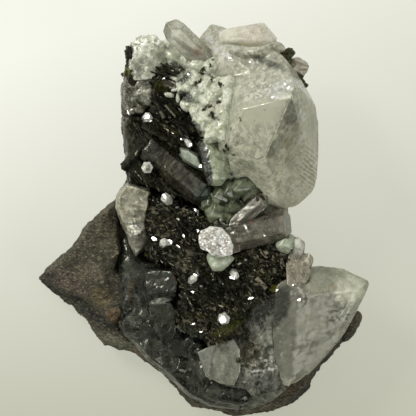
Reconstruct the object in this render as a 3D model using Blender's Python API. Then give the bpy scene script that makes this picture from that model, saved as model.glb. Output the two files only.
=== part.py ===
"""Harlequin quartz: quartz crystals, epidote and prehnite grown on a broken piece of basalt.

The specimen lies on its back. X runs to the right and Y up its face, and Z is the height above the
surface that it lies on. The origin is the middle of its bounding box, on that surface.
The numbers in this file are millimetres, and add_node turns them into metres.
"""

import itertools
import math
import random

import bmesh
import bpy
import numpy as np
from mathutils import Matrix, Vector, geometry, noise

MM = 0.001
GAP = 0.3
REACH = 60.0
# The middle of the specimen's box, as the numbers below place it: add_node moves it to the origin.
MIDDLE = (-0.03, 0.17, 0.0)

BASALT = ("basalt", (0.15, 0.12, 0.10), 0.9)
EPIDOTE = ("epidote", (0.035, 0.042, 0.028), 0.35)
SMOKY_QUARTZ = ("smoky_quartz", (0.16, 0.16, 0.14), 0.15)
CLEAR_QUARTZ = ("clear_quartz", (0.72, 0.73, 0.70), 0.08)
MILKY_QUARTZ = ("milky_quartz", (0.62, 0.62, 0.58), 0.3)
ROSE_QUARTZ = ("red_flecked_quartz", (0.66, 0.56, 0.54), 0.08)
PREHNITE = ("prehnite", (0.50, 0.60, 0.47), 0.35)

# Quartz angles: its prism has six sides, and the faces of its point lean this far from its length.
POINT_LEAN = math.radians(38.2)


# Shapes with flat faces, made by cutting a block


def plane_through(a, b, c, inside):
    """(point, outward normal) of the flat face through three corners, turned away from inside."""
    a, b, c = Vector(a), Vector(b), Vector(c)
    normal = (b - a).cross(c - a).normalized()
    if normal.dot(Vector(inside) - a) > 0:
        normal.negate()
    return a, normal


def block_cut_by(planes, inside, grow):
    """The closed solid that lies behind every plane, each moved outwards by grow.

    Its corners are the points where three planes meet that no other plane cuts off.
    """
    sides = [Vector(side) for side in ((1, 0, 0), (-1, 0, 0), (0, 1, 0), (0, -1, 0), (0, 0, 1), (0, 0, -1))]
    planes = planes + [(Vector(inside) + side * REACH, side) for side in sides]
    normals = np.array([normal[:] for _, normal in planes])
    offsets = np.array([point.dot(normal) + grow for point, normal in planes])
    triples = np.array(list(itertools.combinations(range(len(planes)), 3)))
    meeting = np.abs(np.linalg.det(normals[triples])) > 1e-5
    triples = triples[meeting]
    corners = np.linalg.solve(normals[triples], offsets[triples][..., None])[..., 0]
    corners = corners[(corners @ normals.T <= offsets + 1e-3).all(axis=1)]
    bm = bmesh.new()
    for corner in corners:
        bm.verts.new(corner)
    bmesh.ops.remove_doubles(bm, verts=bm.verts[:], dist=0.03)
    bmesh.ops.convex_hull(bm, input=bm.verts[:])
    bmesh.ops.delete(bm, geom=[v for v in bm.verts if not v.link_faces], context="VERTS")
    bmesh.ops.dissolve_limit(bm, angle_limit=0.01, verts=bm.verts[:], edges=bm.edges[:])
    bmesh.ops.recalc_face_normals(bm, faces=bm.faces[:])
    return mesh_of(bm)


def standing_block(plan, level, undercut, facets, floor):
    """A block drawn in plan: sides that lean in by undercut degrees below level, flat facets and a floor.

    plan lists the corners of its outline, and each facet lists three points (x, y, z) of its plane.
    """
    middle = sum((Vector(p) for p in plan), Vector((0, 0))) / len(plan)
    inside = Vector((*middle, level))
    planes = [(Vector((0, 0, floor)), Vector((0, 0, -1)))]
    for (ax, ay), (bx, by) in zip(plan, plan[1:] + plan[:1]):
        start = Vector((ax, ay, level))
        outward = Vector((by - ay, ax - bx, 0)).normalized()
        if outward.dot(inside - start) > 0:
            outward.negate()
        lean = math.radians(undercut)
        planes.append((start, Vector((*(outward * math.cos(lean)).xy, -math.sin(lean)))))
    planes += [plane_through(*facet, inside) for facet in facets]
    return lambda grow: block_cut_by(planes, inside, grow)


def quartz_prism(base, tip, width, roll=0.0, flat=1.0, uneven=0.5, broken_end=None):
    """A six-sided crystal from base to tip. Three faces of its point are larger than the other three.

    roll turns it about its length in degrees, flat is its thickness over its width, uneven sets the
    three small faces back, and broken_end is the (x, y, z) lean of a broken end in place of a point.
    """
    base, tip = Vector(base), Vector(tip)
    along = (tip - base).normalized()
    across = along.cross(Vector((0, 0, 1))).normalized()
    turn = Matrix.Rotation(math.radians(roll), 3, along)
    across = turn @ across
    up = along.cross(across)
    length = (tip - base).length
    inside = base + along * length * 0.4
    planes = [(base, -along)]
    for side in range(6):
        angle = math.radians(60 * side)
        outward = across * math.cos(angle) + up * math.sin(angle)
        reach = width / 2 * (1.0 if side % 3 == 0 else (1 + flat) / 2 * flat ** 0.5)
        planes.append((base + outward * reach, outward))
        if broken_end is None:
            setback = 0 if side % 2 else uneven * width * 0.25
            slant = (outward * math.cos(POINT_LEAN) + along * math.sin(POINT_LEAN)).normalized()
            planes.append((tip + slant * setback, slant))
    if broken_end is not None:
        planes.append((tip, Vector(broken_end).normalized()))
    return lambda grow: block_cut_by(planes, inside, grow)


def nodule(centre, radii, faces=14, seed=0):
    """A rounded lump: flat facets that touch an ellipsoid, spread evenly by the golden angle."""
    rng = random.Random(seed)
    centre = Vector(centre)
    planes = []
    for i in range(faces):
        z = 1 - (2 * i + 1) / faces
        spin = i * math.pi * (3 - math.sqrt(5)) + rng.uniform(-0.3, 0.3)
        ring = math.sqrt(1 - z * z)
        unit = Vector((ring * math.cos(spin), ring * math.sin(spin), z + rng.uniform(-0.1, 0.1)))
        unit.normalize()
        touch = Vector(unit[k] * radii[k] for k in range(3)) * rng.uniform(0.88, 1.0)
        normal = Vector(unit[k] / radii[k] for k in range(3)).normalized()
        planes.append((centre + touch, normal))
    return lambda grow: block_cut_by(planes, centre, grow)


# Rough masses, made as a slab between two height functions


def relief(knots, chunk, lift, ripple, seed):
    """A height function: it passes through the knots (x, y, z) and breaks into tilted flat chunks.

    chunk is the size of a flat piece of the break, lift its tilt and step, and ripple the fine roughness.
    """
    shift = Vector((seed * 17.3, seed * 5.1, seed * 3.7))

    def height(x, y):
        total = weight = 0.0
        for kx, ky, kz in knots:
            near = 1 / (((x - kx) ** 2 + (y - ky) ** 2) ** 1.5 + 0.5)
            total += near * kz
            weight += near
        place = Vector((x, y, 0)) / chunk + shift
        centre = noise.voronoi(place)[1][0]
        tilt = noise.cell_vector(centre * 7.3)
        away = (place - centre) * chunk
        steps = lift * (tilt.x * away.x + tilt.y * away.y) / chunk + 0.5 * lift * tilt.z
        return total / weight + steps + ripple * noise.fractal(place * 2.1, 1.0, 2.0, 3)

    return height


def broken_outline(corners, spacing, jag, seed):
    """The outline's corners with points between them, each moved a little, as a broken edge is."""
    rim = []
    for (ax, ay), (bx, by) in zip(corners, corners[1:] + corners[:1]):
        steps = max(1, round(math.hypot(bx - ax, by - ay) / spacing))
        for i in range(steps):
            place = Vector((ax, ay, 0)).lerp(Vector((bx, by, 0)), i / steps)
            at = place * 0.6 + Vector((0, 0, seed))
            shift = Vector((noise.noise(at), noise.noise(at + Vector((31.4, 8.2, 0)))))
            rim.append(place.to_2d() + jag * shift)
    return rim


def offset_outline(rim, distance):
    """The rim moved inwards by distance, or by less at a sharp corner. The rim runs clockwise."""
    count = len(rim)
    reach = [distance] * count
    for _ in range(12):
        moved = []
        for i, here in enumerate(rim):
            along = (rim[(i + 1) % count] - rim[i - 1]).normalized()
            moved.append(here + Vector((along.y, -along.x)) * reach[i])
        for i in range(count):
            edge = rim[i] - rim[i - 1]
            if (moved[i] - moved[i - 1]).dot(edge) < 0.25 * edge.length_squared:
                reach[i] *= 0.75
                reach[i - 1] *= 0.75
    return moved


def in_outline(point, rim, margin):
    """True if the point is inside the rim and at least margin from it."""
    inside = False
    for a, b in zip(rim, rim[1:] + rim[:1]):
        if (a.y > point.y) != (b.y > point.y):
            if point.x < a.x + (point.y - a.y) * (b.x - a.x) / (b.y - a.y):
                inside = not inside
        near, along = geometry.intersect_point_line(point, a, b)
        near = a if along < 0 else b if along > 1 else near.to_2d()
        if (point - near).length < margin:
            return False
    return inside


def grid_inside(rim, spacing, rng):
    """Points of a shaken triangular grid that lie inside the rim."""
    low = Vector((min(p.x for p in rim), min(p.y for p in rim)))
    high = Vector((max(p.x for p in rim), max(p.y for p in rim)))
    row_height = spacing * math.sqrt(0.75)
    found = []
    for row in range(int((high.y - low.y) / row_height) + 1):
        for column in range(int((high.x - low.x) / spacing) + 1):
            shaken = Vector((rng.uniform(-0.25, 0.25), rng.uniform(-0.25, 0.25))) * spacing
            point = low + Vector(((column + 0.5 * (row % 2)) * spacing, row * row_height)) + shaken
            if in_outline(point, rim, 0.55 * spacing):
                found.append(point)
    return found


def slab(corners, top, bottom, spacing, jag=0.25, bevel=0.6, seed=1):
    """A closed rough slab: top and bottom are height functions, and its rim bulges by bevel at mid height."""
    rim = broken_outline(corners, spacing, jag, seed)
    if sum(a.x * b.y - b.x * a.y for a, b in zip(rim, rim[1:] + rim[:1])) > 0:
        rim.reverse()
    edge = offset_outline(rim, bevel)
    points = edge + grid_inside(edge, spacing, random.Random(seed))
    count = len(rim)
    flat_points, _, flat_faces, *_ = geometry.delaunay_2d_cdt(points, [], [list(range(count))], 1, 1e-5)
    bm = bmesh.new()
    tops = [bm.verts.new((p.x, p.y, top(p.x, p.y))) for p in flat_points]
    bottoms = [bm.verts.new((p.x, p.y, bottom(p.x, p.y))) for p in flat_points]
    for face in flat_faces:
        bm.faces.new([tops[i] for i in face])
        bm.faces.new([bottoms[i] for i in reversed(face)])
    girdle = []
    for i, place in enumerate(rim):
        share = 0.45 + 0.2 * noise.noise(Vector((place.x, place.y, seed)) * 0.4)
        level = tops[i].co.z + (bottoms[i].co.z - tops[i].co.z) * share
        girdle.append(bm.verts.new((place.x, place.y, level)))
    for i in range(count):
        j = (i + 1) % count
        bm.faces.new((tops[i], tops[j], girdle[j], girdle[i]))
        bm.faces.new((girdle[i], girdle[j], bottoms[j], bottoms[i]))
    bmesh.ops.recalc_face_normals(bm, faces=bm.faces[:])
    bmesh.ops.triangulate(bm, faces=bm.faces[:])
    return lambda grow, source=mesh_of(bm): swollen(source, grow)


def swollen(source, grow):
    """A copy of the mesh with its surface moved outwards by grow."""
    bm = bmesh.new()
    bm.from_mesh(source)
    bm.normal_update()
    moves = [v.normal * grow * min(v.calc_shell_factor(), 1.6) for v in bm.verts]
    for vertex, move in zip(bm.verts, moves):
        vertex.co += move
    return mesh_of(bm)


# Meshes and Booleans


def mesh_of(bm):
    mesh = bpy.data.meshes.new("solid")
    bm.to_mesh(mesh)
    bm.free()
    return mesh


def boolean(mesh, others, operation):
    """The mesh after an exact Boolean with all the others at once."""
    subject = bpy.data.objects.new("subject", mesh)
    bpy.context.scene.collection.objects.link(subject)
    tools = bpy.data.collections.new("tools")
    for other in others:
        tools.objects.link(bpy.data.objects.new("tool", other))
    modifier = subject.modifiers.new("boolean", "BOOLEAN")
    modifier.operation = operation
    modifier.operand_type = "COLLECTION"
    modifier.collection = tools
    modifier.solver = "EXACT"
    bpy.context.view_layer.update()
    graph = bpy.context.evaluated_depsgraph_get()
    result = bpy.data.meshes.new_from_object(subject.evaluated_get(graph))
    for helper in [subject, *tools.objects]:
        bpy.data.objects.remove(helper)
    bpy.data.collections.remove(tools)
    return result


def largest_body(mesh):
    """The mesh's largest connected body, triangulated, with the crumbs that a cut left taken away."""
    bm = bmesh.new()
    bm.from_mesh(mesh)
    bmesh.ops.remove_doubles(bm, verts=bm.verts[:], dist=0.002)
    bmesh.ops.dissolve_degenerate(bm, edges=bm.edges[:], dist=0.002)
    bmesh.ops.triangulate(bm, faces=bm.faces[:])
    unseen = set(bm.faces)
    bodies = []
    while unseen:
        body = {unseen.pop()}
        front = list(body)
        while front:
            for edge in front.pop().edges:
                for face in edge.link_faces:
                    if face in unseen:
                        unseen.remove(face)
                        body.add(face)
                        front.append(face)
        bodies.append(body)
    bodies.sort(key=volume_of, reverse=True)
    crumbs = [face for body in bodies[1:] for face in body]
    bmesh.ops.delete(bm, geom=crumbs, context="FACES")
    return mesh_of(bm)


def volume_of(faces):
    return abs(sum(f.verts[0].co.dot(f.verts[1].co.cross(f.verts[2].co)) for f in faces)) / 6


def box_of(meshes):
    corners = [v.co for mesh in meshes for v in mesh.vertices]
    return [(min(c[k] for c in corners), max(c[k] for c in corners)) for k in range(3)]


def boxes_meet(a, b):
    return all(a[k][0] <= b[k][1] and b[k][0] <= a[k][1] for k in range(3))


def material_of(finish):
    name, colour, roughness = finish
    material = bpy.data.materials.get(name)
    if material is None:
        material = bpy.data.materials.new(name)
        material.use_nodes = True
        shader = material.node_tree.nodes["Principled BSDF"]
        shader.inputs["Base Color"].default_value = (*colour, 1)
        shader.inputs["Roughness"].default_value = roughness
        shader.inputs["Metallic"].default_value = 0.0
    return material


def add_node(name, finish, mesh):
    """Puts the finished mesh in the scene as a named object, centred and in metres."""
    mesh.name = name
    mesh.transform(Matrix.Scale(MM, 4) @ Matrix.Translation(-Vector(MIDDLE)))
    mesh.materials.clear()
    mesh.materials.append(material_of(finish))
    bpy.context.scene.collection.objects.link(bpy.data.objects.new(name, mesh))


# The pieces, from the small crystals in front to the rock behind


def small_crystals():
    """Short clear crystals, 1 to 3 mm long, that stand on the epidote: name, base, tip and width."""
    sizes = [
        ("ring_crystal", (-11.2, 10.2, 18.6), (-11.1, 10.4, 22.0), 2.1),
        ("glint_crystal_upper_left", (-11.2, 20.2, 18.0), (-10.9, 20.4, 21.4), 1.8),
        ("glint_crystal_blade", (-3.8, 16.6, 19.6), (-2.4, 14.4, 22.8), 1.1),
        ("glint_crystal_neck", (-6.9, 3.6, 18.4), (-7.8, 4.6, 21.6), 1.8),
        ("glint_crystal_left", (-8.0, -5.0, 19.6), (-7.6, -4.4, 22.4), 1.5),
        ("glint_crystal_right", (6.0, -10.6, 20.6), (6.6, -11.6, 23.6), 1.5),
        ("glint_crystal_low", (4.0, -19.6, 18.6), (4.3, -20.2, 22.2), 2.2),
        ("glint_crystal_centre", (-2.4, -12.4, 20.2), (-1.6, -11.6, 23.2), 1.3),
    ]
    for i, (name, base, tip, width) in enumerate(sizes):
        yield name, CLEAR_QUARTZ, [quartz_prism(base, tip, width, roll=23 * i, uneven=0.3)]


def top_crystals():
    yield "red_flecked_crystal", ROSE_QUARTZ, [
        quartz_prism((1.4, 30.8, 19.5), (-7.4, 39.2, 24.4), 4.1, roll=21, uneven=0.9),
    ]
    yield "pink_crystal", ROSE_QUARTZ, [
        standing_block(
            [(3.6, 37.2), (4.6, 38.0), (12.1, 39.3), (14.7, 36.1), (13.8, 34.9), (11.0, 33.8),
             (5.0, 34.0)],
            20.6, 16,
            [
                ((5.0, 36.0, 23.4), (12.0, 38.4, 22.7), (12.6, 35.2, 23.2)),
                ((12.1, 39.2, 20.8), (14.6, 36.2, 21.0), (12.0, 36.6, 23.2)),
                ((4.6, 37.8, 21.2), (12.0, 39.1, 21.0), (8.0, 37.4, 23.2)),
                ((5.0, 34.6, 22.0), (13.2, 34.8, 21.8), (9.0, 35.6, 23.5)),
                ((4.0, 35.0, 15.0), (13.6, 36.4, 18.6), (10.0, 34.0, 16.4)),
            ],
            14.0,
        ),
    ]
    yield "side_crystal", ROSE_QUARTZ, [
        quartz_prism((15.6, 29.8, 14.6), (21.3, 30.6, 17.2), 4.1, roll=5, uneven=0.4),
    ]
    yield "side_epidote", EPIDOTE, [
        nodule((17.2, 33.2, 17.6), (0.9, 0.9, 0.9), faces=10, seed=3),
        nodule((16.7, 31.9, 17.8), (1.0, 1.1, 1.0), faces=10, seed=4),
        nodule((15.9, 32.8, 17.4), (0.8, 0.6, 0.7), faces=10, seed=5),
    ]
    yield "rim_epidote", EPIDOTE, [
        nodule((17.8, 28.9, 18.4), (0.9, 0.6, 0.7), faces=9, seed=5),
        nodule((18.9, 28.3, 18.2), (0.85, 0.75, 0.8), faces=9, seed=6),
        nodule((19.6, 27.5, 17.9), (0.6, 0.6, 0.6), faces=9, seed=7),
        nodule((20.1, 26.7, 17.6), (0.65, 0.65, 0.65), faces=9, seed=8),
    ]
    yield "corner_epidote", EPIDOTE, [
        quartz_prism((-14.4, 29.4, 17.0), (-15.0, 34.9, 18.8), 1.6, roll=20),
        nodule((-14.0, 29.6, 17.6), (1.7, 2.4, 1.5), seed=8),
    ]


def middle_crystals():
    yield "frosted_crystal", MILKY_QUARTZ, [
        standing_block(
            [(-0.7, -4.2), (-0.3, -2.5), (1.5, -1.6), (3.3, -2.0), (4.8, -3.5), (5.7, -5.5), (5.5, -6.8),
             (3.3, -7.5), (1.6, -6.8), (-0.4, -5.7)],
            25.4, 12,
            [((-0.6, -3.8, 26.0), (5.4, -4.2, 26.9), (3.0, -7.4, 26.2)), ((-0.6, -3.8, 26.0),
             (1.9, -1.4, 25.8), (2.4, -3.6, 27.0))],
            19.0,
        ),
    ]
    yield "harlequin_crystals", ROSE_QUARTZ, [
        quartz_prism((2.6, -4.2, 20.0), (16.7, -1.0, 21.2), 5.3, roll=28, broken_end=(1.0, 0.1, 0.3)),
        quartz_prism((3.6, -3.4, 21.0), (12.8, 4.6, 22.6), 2.8, roll=10, uneven=0.6),
        standing_block(
            [(5.4, -4.2), (7.4, -3.6), (7.3, -6.4), (5.4, -6.9)],
            22.0, 4, [((5.4, -4.2, 22.8), (7.4, -4.2, 22.4), (6.4, -6.6, 22.2))], 18.0,
        ),
    ]
    yield "smoky_crystal", SMOKY_QUARTZ, [
        quartz_prism((-10.9, 14.4, 17.2), (2.4, 3.2, 21.8), 5.0, roll=26, uneven=0.9),
    ]
    yield "prehnite_plate", PREHNITE, [
        standing_block(
            [(-4.1, 13.7), (-2.9, 13.6), (-1.2, 12.4), (-0.2, 10.1), (-1.3, 10.5), (-3.6, 11.9),
             (-4.1, 12.9)],
            23.8, -8, [((-4.0, 13.6, 24.0), (-0.4, 10.4, 24.6), (-3.0, 11.6, 23.8))], 19.5,
        ),
    ]
    yield "prehnite_wedge", PREHNITE, [
        standing_block(
            [(12.2, 2.4), (13.4, 3.6), (16.6, 3.2), (16.9, 1.6), (16.4, 0.0), (12.6, -0.4)],
            17.6, 6, [((12.6, 0.4, 19.6), (16.6, 1.0, 19.0), (14.6, 3.2, 18.6))], 11.0,
        ),
    ]


def prehnite_pieces():
    """Prehnite grows as rounded lumps that run together: each row is one run of lumps (x, y, z, radius)."""
    runs = {
        "prehnite_crust": [
            (-3.4, 26.4, 20.4, 1.9), (-1.4, 27.6, 20.6, 2.0), (1.0, 26.6, 21.4, 2.1),
            (3.4, 25.8, 22.4, 2.2), (-1.2, 24.6, 21.6, 1.9), (1.6, 23.6, 22.6, 2.3),
            (4.4, 22.2, 23.2, 2.4), (-0.8, 22.0, 22.0, 1.7), (1.4, 20.6, 23.2, 2.2),
            (4.6, 19.0, 23.6, 2.3), (0.4, 18.6, 23.2, 1.9), (2.6, 17.6, 23.8, 2.2),
            (-2.4, 23.2, 21.0, 1.5), (-0.6, 20.2, 22.2, 1.6), (5.6, 16.4, 22.6, 2.0),
        ],
        "prehnite_column": [
            (0.9, 14.4, 22.2, 1.9), (1.6, 12.6, 23.0, 2.0), (2.0, 10.6, 23.4, 2.1),
            (2.8, 8.8, 23.2, 2.1), (4.2, 12.4, 21.6, 1.9), (4.6, 9.8, 21.4, 1.9),
        ],
        "prehnite_middle": [
            (3.2, 4.8, 20.6, 1.9), (5.4, 5.8, 20.4, 2.2), (7.8, 6.8, 20.6, 2.2), (9.8, 5.4, 19.6, 1.9),
            (2.6, 1.4, 21.8, 1.9), (4.0, -0.2, 21.2, 1.9), (1.4, 3.6, 21.4, 1.7), (5.6, 2.4, 19.4, 2.0),
        ],
        "prehnite_knob_right": [(16.2, -4.8, 20.8, 1.8), (17.0, -4.0, 20.4, 1.2), (15.4, -4.0, 20.6, 1.0)],
        "prehnite_knob_centre": [(2.4, -7.8, 22.4, 1.6), (4.0, -8.0, 22.4, 1.6), (3.2, -8.6, 22.2, 1.7)],
    }
    for name, lumps in runs.items():
        yield name, PREHNITE, [
            nodule((x, y, z), (r, r * 0.95, r * 1.05), faces=10, seed=31 + i)
            for i, (x, y, z, r) in enumerate(lumps)
        ]


def great_quartz():
    """The large crystal at the upper right, with the ridge of older quartz that it grew on."""
    apex = (17.5, 24.3, 34.0)
    brow = (7.5, 21.7, 30.5)
    jaw = (5.3, 14.8, 28.4)
    chin = (10.7, 11.6, 29.4)
    cheek = (12.2, 12.2, 30.0)
    crystal = standing_block(
        [(3.4, 23.0), (6.4, 30.6), (13.0, 32.8), (18.4, 29.2), (20.9, 24.8), (21.9, 22.5), (22.6, 19.4),
         (22.8, 14.8), (22.7, 10.3), (22.4, 6.6), (21.8, 5.3), (18.8, 2.7), (16.6, 2.1), (13.4, 3.0),
         (10.0, 5.4),
         (5.8, 9.6), (3.8, 16.0)],
        17.0, 10,
        [
            (apex, brow, chin),
            (apex, cheek, (22.6, 15.4, 23.9)),
            (apex, brow, (18.2, 27.6, 31.8)),
            (brow, jaw, (3.9, 18.6, 24.6)),
            (jaw, chin, (7.8, 10.8, 25.2)),
            (cheek, chin, (14.6, 3.4, 21.4)),
            (cheek, (22.4, 9.6, 20.6), (18.6, 3.2, 19.0)),
            ((18.2, 27.6, 31.8), (20.8, 25.0, 24.0), (18.4, 28.8, 24.6)),
            ((22.8, 15.4, 19.6), (22.6, 7.0, 18.6), (20.8, 12.6, 24.0)),
            ((4.0, 22.0, 6.0), (5.0, 8.0, 6.6), (21.0, 15.0, 12.6)),
            ((8.0, 28.0, 7.4), (19.6, 24.0, 14.6), (12.0, 14.0, 9.0)),
            ((10.0, 4.4, 9.0), (20.6, 6.0, 14.0), (12.0, 12.0, 7.6)),
        ],
        5.0,
    )
    ridge = standing_block(
        [(-1.2, 33.2), (-0.2, 36.4), (1.6, 38.6), (2.6, 38.8), (4.6, 38.0), (8.4, 37.2),
         (14.0, 34.4), (17.0, 31.6),
         (18.4, 28.4), (12.0, 25.6), (4.0, 26.2), (-0.6, 29.2)],
        16.0, 12,
        [
            ((2.0, 38.4, 18.6), (13.6, 34.2, 18.6), (8.0, 31.0, 25.0)),
            ((-0.8, 33.4, 19.4), (1.2, 37.8, 18.0), (3.6, 32.0, 23.6)),
            ((0.0, 29.6, 22.0), (3.6, 32.0, 23.6), (8.0, 30.0, 25.2)),
            ((8.0, 30.6, 25.2), (16.6, 30.4, 22.4), (12.6, 27.0, 26.4)),
            ((14.4, 34.0, 17.0), (17.8, 29.8, 17.6), (14.8, 30.8, 23.4)),
            ((0.0, 32.0, 8.6), (2.0, 37.4, 12.4), (15.4, 32.0, 14.0)),
            ((0.0, 30.0, 8.4), (17.0, 28.0, 13.4), (8.0, 26.0, 8.0)),
        ],
        6.0,
    )
    companion = standing_block(
        [(5.4, 13.4), (6.4, 14.2), (10.8, 12.4), (11.6, 10.4), (11.0, 8.4), (8.6, 7.2), (6.3, 8.4)],
        20.0, 8,
        [((5.8, 12.4, 24.8), (10.8, 11.0, 26.2), (8.2, 8.4, 24.4)), ((10.4, 9.4, 24.8),
         (6.6, 8.6, 23.8), (9.0, 7.4, 21.0))],
        10.0,
    )
    yield "great_quartz", CLEAR_QUARTZ, [crystal, ridge, companion]


def right_quartz():
    """The milky crystal at the lower right and the fan of thin crystals above it."""
    corner = (18.6, -15.2, 22.5)
    spur = (31.6, -13.6, 16.6)
    foot = (17.2, -31.6, 16.0)
    yield "fan_crystals", ROSE_QUARTZ, [
        standing_block(
            [(16.9, -9.2), (17.6, -6.6), (19.2, -6.4), (20.7, -8.6), (21.3, -10.6), (20.4, -13.0),
             (18.8, -14.2), (17.2, -13.2)],
            17.6, 5,
            [((17.2, -9.0, 19.8), (20.8, -9.6, 18.6), (18.8, -13.8, 20.2)), ((17.6, -6.8, 18.6),
             (20.4, -8.4, 17.8), (18.4, -9.0, 19.8))],
            12.0,
        ),
        quartz_prism((18.2, -12.0, 15.5), (19.4, -4.0, 19.4), 2.0, roll=15),
        quartz_prism((18.6, -13.0, 15.0), (21.2, -7.0, 19.2), 2.3, roll=40),
    ]
    yield "milky_quartz", MILKY_QUARTZ, [
        standing_block(
            [(17.2, -15.0), (20.4, -10.9), (23.6, -10.0), (28.2, -10.3), (33.2, -13.0),
             (31.2, -18.2), (28.4, -23.0),
             (23.2, -28.8), (19.0, -33.0), (16.4, -32.8), (15.2, -27.6), (15.6, -22.0)],
            14.0, 20,
            [
                (corner, spur, foot),
                (corner, spur, (24.0, -10.2, 16.0)),
                (corner, foot, (15.3, -24.0, 18.0)),
                (spur, (27.6, -22.0, 15.4), (33.0, -13.4, 14.0)),
                ((28.0, -22.6, 14.8), (20.4, -31.4, 14.4), (22.6, -25.4, 18.0)),
                ((17.0, -32.0, 6.0), (16.0, -14.0, 6.0), (32.4, -13.0, 12.6)),
            ],
            5.0,
        ),
    ]
    yield "pale_quartz", MILKY_QUARTZ, [
        standing_block(
            [(-1.0, -26.4), (1.8, -25.6), (5.6, -24.0), (7.0, -26.2), (7.3, -30.4), (6.1, -33.2),
             (3.6, -32.9), (0.6, -31.4)],
            15.5, 6,
            [((2.2, -26.0, 17.6), (6.8, -26.6, 18.0), (5.6, -33.0, 16.0)), ((2.1, -25.8, 17.6),
             (2.4, -30.0, 16.7), (-0.8, -27.0, 16.0))],
            7.0,
        ),
    ]


def low_quartz():
    """The quartz that fills the foot of the specimen, and the two blocky crystals at its left."""
    bed = slab(
        [(-17.0, -8.2), (-14.0, -7.6), (-10.6, -8.4), (-6.2, -9.8), (-4.8, -14.4), (-5.2, -20.0),
         (-3.6, -23.4), (1.2, -26.0), (1.8, -31.0), (4.4, -33.6), (8.8, -36.6), (7.0, -38.2),
         (1.4, -37.6), (-2.6, -35.8), (-6.2, -32.2), (-10.6, -28.6), (-13.6, -25.4), (-16.0, -23.4),
         (-17.0, -21.2), (-15.0, -19.6),
         (-14.2, -16.0), (-15.4, -12.2)],
        relief([(-15.0, -10.0, 12.5), (-12.0, -22.0, 12.4), (-5.0, -26.0, 13.0), (0.0, -34.0, 11.6),
                (5.0, -36.0, 10.6)],
               4.5, 1.3, 0.5, 5),
        lambda x, y: 5.0, 2.3, jag=0.3, bevel=0.8, seed=5,
    )
    block = standing_block(
        [(-11.8, -11.2), (-10.6, -10.0), (-5.9, -10.0), (-4.6, -12.6), (-5.3, -15.7), (-6.8, -16.6),
         (-9.8, -17.1),
         (-10.8, -16.4), (-11.8, -13.4)],
        15.0, -6,
        [((-12.2, -11.0, 17.2), (-6.0, -10.0, 18.6), (-8.0, -15.8, 19.0)), ((-11.6, -16.0, 16.4),
         (-6.0, -15.6, 17.6), (-8.0, -14.4, 19.4))],
        7.0,
    )
    lower_block = standing_block(
        [(-10.9, -16.4), (-6.4, -16.6), (-5.1, -18.6), (-5.4, -22.8), (-7.0, -25.4), (-9.2, -23.6),
         (-10.8, -20.0)],
        13.5, -6, [((-10.6, -17.0, 15.6), (-5.6, -18.0, 16.4), (-7.2, -25.0, 14.6))], 7.0,
    )
    lump = nodule((-14.4, -20.6, 11.8), (2.2, 1.9, 2.2), seed=12)
    lens = nodule((-4.6, -29.6, 12.6), (1.9, 2.0, 1.7), seed=13)
    yield "low_left_quartz", SMOKY_QUARTZ, [bed, block, lower_block, lump, lens]
    yield "low_middle_quartz", CLEAR_QUARTZ, [
        standing_block(
            [(6.2, -24.0), (9.4, -19.4), (12.0, -16.6), (17.4, -14.4), (17.6, -22.0), (17.4, -32.8),
             (14.0, -36.2),
             (10.4, -38.2), (6.2, -38.7), (4.4, -36.2)],
            12.0, 8,
            [
                ((9.8, -18.0, 17.5), (17.8, -15.0, 19.5), (12.4, -25.0, 17.0)),
                ((6.4, -26.4, 15.0), (10.0, -18.6, 17.5), (11.4, -27.0, 17.0)),
                ((12.4, -25.0, 17.2), (18.4, -33.6, 14.0), (7.4, -36.6, 12.2)),
                ((18.0, -16.0, 19.5), (18.6, -33.0, 14.2), (14.0, -26.0, 17.4)),
                ((15.6, -37.2, 10.0), (8.6, -37.8, 9.6), (12.0, -34.0, 14.2)),
            ],
            5.0,
        ),
    ]


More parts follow.
